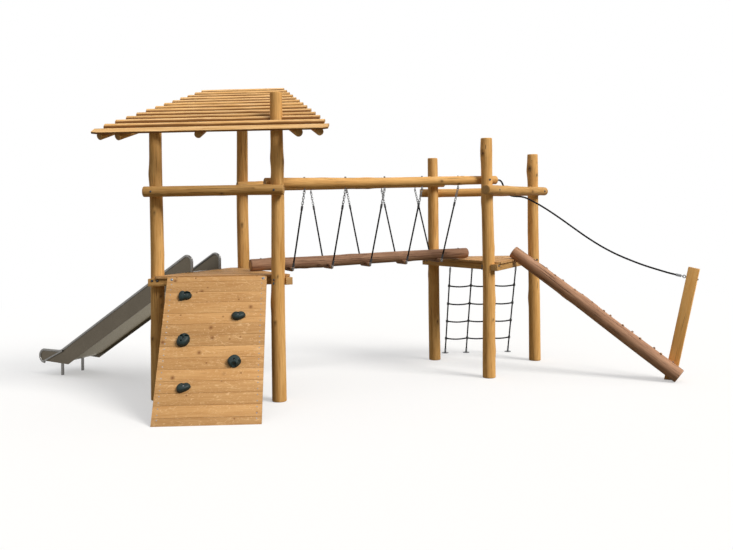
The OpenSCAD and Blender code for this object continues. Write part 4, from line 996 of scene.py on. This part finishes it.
# Place on the wall from its middle and down from its top, outline radii every 45 degrees from the right,
# height, lean of the front up the wall, squareness, and pits as (right, up, half width, half height, depth)
HOLDS = [
    (-0.32, 0.23, (0.072, 0.06, 0.036, 0.072, 0.064, 0.078, 0.042, 0.058), 0.05, 0.1, 4,
     [(0.03, 0.02, 0.034, 0.01, 0.034), (0.052, -0.01, 0.01, 0.016, 0.014)]),
    (0.247, 0.47, (0.076, 0.062, 0.034, 0.06, 0.072, 0.066, 0.054, 0.056), 0.046, -0.42, 3, []),
    (-0.29, 0.735, (0.062, 0.068, 0.068, 0.062, 0.064, 0.086, 0.08, 0.066), 0.056, -0.1, 4,
     [(-0.022, 0.026, 0.016, 0.009, 0.026), (0.028, 0.026, 0.016, 0.01, 0.028),
      (0.0, 0.052, 0.01, 0.009, 0.016), (-0.02, -0.036, 0.009, 0.009, 0.018)]),
    (0.233, 0.985, (0.068, 0.062, 0.064, 0.06, 0.07, 0.066, 0.07, 0.062), 0.056, -0.06, 8,
     [(-0.002, -0.058, 0.024, 0.028, 0.05), (0.056, -0.022, 0.016, 0.018, 0.026)]),
    (-0.244, 1.245, (0.07, 0.056, 0.036, 0.056, 0.07, 0.08, 0.05, 0.05), 0.044, -0.45, 3,
     [(-0.006, 0.04, 0.014, 0.008, 0.012)]),
]
# Bolt hole of a hold: height of its seat over the wall, radius, and hole in its seat
HOLD_SEAT, HOLD_BORE, HOLD_SOCKET = 0.024, 0.0105, 0.003
# Rings from a hold's rim towards its middle, points in a ring, and how often its outline is smoothed
HOLD_RINGS = np.concatenate([[1, 0.996, 0.988, 0.975, 0.955, 0.93], np.linspace(0.9, 0.26, 22)])
HOLD_SEG, HOLD_SMOOTHING, HOLD_SUNK = 72, 7, 0.0005


def grip(build, at, up, out, radii, height, tilt, square, pits):
    """Adds a moulded climbing grip with a bolt hole in its middle."""
    right = np.cross(up, out)
    phi = np.linspace(0, 2 * math.pi, HOLD_SEG, endpoint=False)
    rim = np.interp(phi, np.linspace(0, 2 * math.pi, len(radii) + 1), [*radii, radii[0]])
    for _ in range(HOLD_SMOOTHING):
        rim = (np.roll(rim, 1) + 2 * rim + np.roll(rim, -1)) / 4
    share = np.outer(HOLD_RINGS, rim)
    x, y = share * np.cos(phi), share * np.sin(phi)
    z = height * ((1 - HOLD_RINGS ** square) ** 0.45)[:, None] * (1 + tilt * y / 0.05)
    for px, py, w, h, deep in pits:
        d = ((x - px) / w) ** 2 + ((y - py) / h) ** 2
        z = z - np.minimum(deep, 0.8 * z) * np.exp(-d ** 2)
    z = np.maximum(z, 0)
    rings = list(np.stack([x, y, z], -1))
    lip = z[-1].mean()
    mouth = ((HOLD_BORE + 0.002, lip), (HOLD_BORE, lip - 0.0015))
    for r, level in (*mouth, (HOLD_BORE, HOLD_SEAT), (HOLD_SOCKET, HOLD_SEAT)):
        rings.append(np.stack([r * np.cos(phi), r * np.sin(phi), 0 * phi + level], 1))
    local = np.concatenate(rings)
    build.add(np.asarray(at) + local @ np.stack([right, up, out]), tube_faces(len(rings), HOLD_SEG))


def make_wall():
    dress("wall_boards", BOARD, 0.003, 301, (*way(SKEW), 0))
    dress("wall_stringers", SAWN_BEAM, 0.004, 302)
    screws = Build()
    bottom = WALL_LEN - WALL_TOP_BOARD - WALL_BOARDS * WALL_BOARD
    rows = [bottom / 2 + FOOT_SCREW_UP] + [bottom + (i + 0.5) * WALL_BOARD for i in range(WALL_BOARDS)]
    for n, y in enumerate(rows):
        for side in (-1, 1):
            for lift in (-SCREW_OFF, SCREW_OFF) if n else (0,):
                at, face = on_wall(side * (WALL_W / 2 - SCREW_IN), y + lift, -SUNK)
                lathe(screws, SCREW_HEAD, at, face, 14)
    screws.make("wall_screws", [SCREW], "frame")
    bolts = Build()
    for x in BOLT_X:
        at, face = on_wall(x, WALL_LEN - WALL_TOP_BOARD / 2, -SUNK)
        lathe(bolts, BOLT_HEAD, at, face, 24)
    bolts.make("wall_bolt_heads", [ZINC], "frame")
    grips = Build()
    foot, face = on_wall(0, 0)
    up = on_wall(0, 1)[0] - foot
    for x, down, *form in HOLDS:
        grip(grips, on_wall(x, WALL_LEN - down, -HOLD_SUNK)[0], up, face, *form)
    grips.make("wall_grips", [HOLD], "frame", ["climbing_holds"], 50)
    paint(ZINC, "hold_bolts")


def make_net():
    slope = math.hypot(NET_FOOT - NET_HEAD, NET_TOP_Z - NET_PLATE)

    def on_net(x, y):
        """Point on the net: x across from its middle, y up its slope."""
        t = y / slope
        return at_edge(1, 1, x, NET_FOOT + (NET_HEAD - NET_FOOT) * t, NET_PLATE + (NET_TOP_Z - NET_PLATE) * t)

    ropes = Build()
    xs = [(i - (NET_UPRIGHTS - 1) / 2) * NET_PITCH for i in range(NET_UPRIGHTS)]
    for x in xs:
        rope(ropes, [on_net(x, NET_EYE - NET_DEEP), on_net(x, slope - NET_SLEEVE + NET_DEEP)], ROPE_R, FULL)
    for x in xs[:-1]:
        for j in range(NET_ROWS):
            y = NET_ROW + j * NET_ROW_PITCH
            points = [
                on_net(x + NET_PITCH * t, y - NET_SAG * (1 - (2 * t - 1) ** 2))
                for t in np.linspace(0, 1, 9)]
            rope(ropes, points, ROPE_R, FULL)
    ropes.make("net_laid_ropes", [ROPE], "frame", ["net_ropes"], ROPE_SHARP)
    paint(RUBBER, "net_clamps")
    paint(ZINC, "net_fittings")


def grounded(points):
    """Saws off what lies below the ground."""
    points[:, 2] = np.maximum(points[:, 2], 0.0)
    return points


def make_ramp():
    ramp_log = Build()
    foot = at_edge(1, 0, RAMP_SIDE, RAMP_REACH, RAMP_FOOT_Z)
    head = at_edge(1, 0, RAMP_SIDE, RAMP_TOP, RAMP_HEAD_Z)
    log(ramp_log, foot, head, RAMP_R1, RAMP_R2, 95, bow=0.004, knots=10, end=0.008, tone=3.2, shape=grounded)
    ramp_log.make("ramp_tree", WALK, "frame", ["ramp_log"])
    dress("ramp_pegs", WALK, 0.002, 304)
    # Its seed gives the post a bright tone: painted light, like its wood
    dress("rope_post", ROPE_POST, 0.005, 303)
    paint(ZINC, "hand_rope_fittings")


def make_slide():
    paint(BED_STEEL, "slide_bed")
    paint(STEEL, "slide_wall_near", "slide_wall_far")
    paint(TUBE, "slide_rims", "slide_legs")


make_wall()
make_net()
make_ramp()
make_slide()

# Floor and light

FLOOR_HALF, FLOOR_Z = 60, -0.001
# The floor fades to white away from the object's middle, by shares of this distance
MIDDLE, FADE = (2.5, 1.0, 0), 20.0


def shown_ray(tree):
    """One where the floor or sky is seen, also in a reflection, and nought where it only lights."""
    seen = node(tree, "LightPath").outputs
    either = maths("MAXIMUM", seen["Is Camera Ray"], seen["Is Glossy Ray"])
    return maths("MAXIMUM", either, seen["Is Transmission Ray"])


def blend(share, first, second):
    """Shader from the first to the second as share goes from nought to one."""
    n = node(share.id_data, "MixShader", Fac=share)
    feed(n.inputs[1], first)
    feed(n.inputs[2], second)
    return n.outputs[0]


def sun(name, energy, colour, spread, turn, height):
    """Adds a distant soft lamp, turned to the right of the front, its angles in degrees."""
    data = bpy.data.lights.new(name, "SUN")
    data.energy = energy
    data.color = colour
    data.angle = math.radians(spread)
    lamp = place(name, data)
    lamp.rotation_euler = (math.radians(90 - height), 0, math.radians(turn))


def make_floor():
    mesh = bpy.data.meshes.new("floor")
    corners = [(-1, -1), (1, -1), (1, 1), (-1, 1)]
    mesh.from_pydata([(x * FLOOR_HALF, y * FLOOR_HALF, FLOOR_Z) for x, y in corners], [], [[0, 1, 2, 3]])
    mat, tree, shader = new_material("pale floor")
    put(shader, Base_Color=(0.9, 0.9, 0.9, 1), Roughness=0.9)
    far = node(tree, "VectorMath", operation="DISTANCE")
    feed(far.inputs[0], node(tree, "TexCoord").outputs["Object"])
    feed(far.inputs[1], MIDDLE)
    away = ramp(maths("DIVIDE", far.outputs["Value"], FADE), [(0.2, 0.45), (0.6, 1.0)])
    glow = node(tree, "Emission", Color=(1, 1, 1, 1), Strength=1.0)
    dull = node(tree, "BsdfDiffuse", Color=(0.15, 0.13, 0.08, 1))
    pale = blend(away, shader.outputs[0], glow.outputs[0])
    shown = blend(shown_ray(tree), dull.outputs[0], pale)
    put(tree.nodes["Material Output"], Surface=shown)
    mesh.materials.append(mat)
    place("floor", mesh)


def make_light():
    world = bpy.data.worlds.new("studio")
    bpy.context.scene.world = world
    world.use_nodes = True
    tree = world.node_tree
    tree.nodes.clear()
    soft = node(tree, "Background", Color=(1.0, 0.97, 0.93, 1), Strength=0.18)
    white = node(tree, "Background", Color=(1, 1, 1, 1), Strength=1.0)
    seen = blend(shown_ray(tree), soft.outputs[0], white.outputs[0])
    node(tree, "OutputWorld", Surface=seen)
    sun("key", 2.95, (1.0, 0.97, 0.92), 24, 62, 42)
    sun("sky", 1.0, (0.97, 0.98, 1.0), 90, 20, 80)


make_floor()
make_light()

bpy.context.scene.view_settings.view_transform = "Standard"
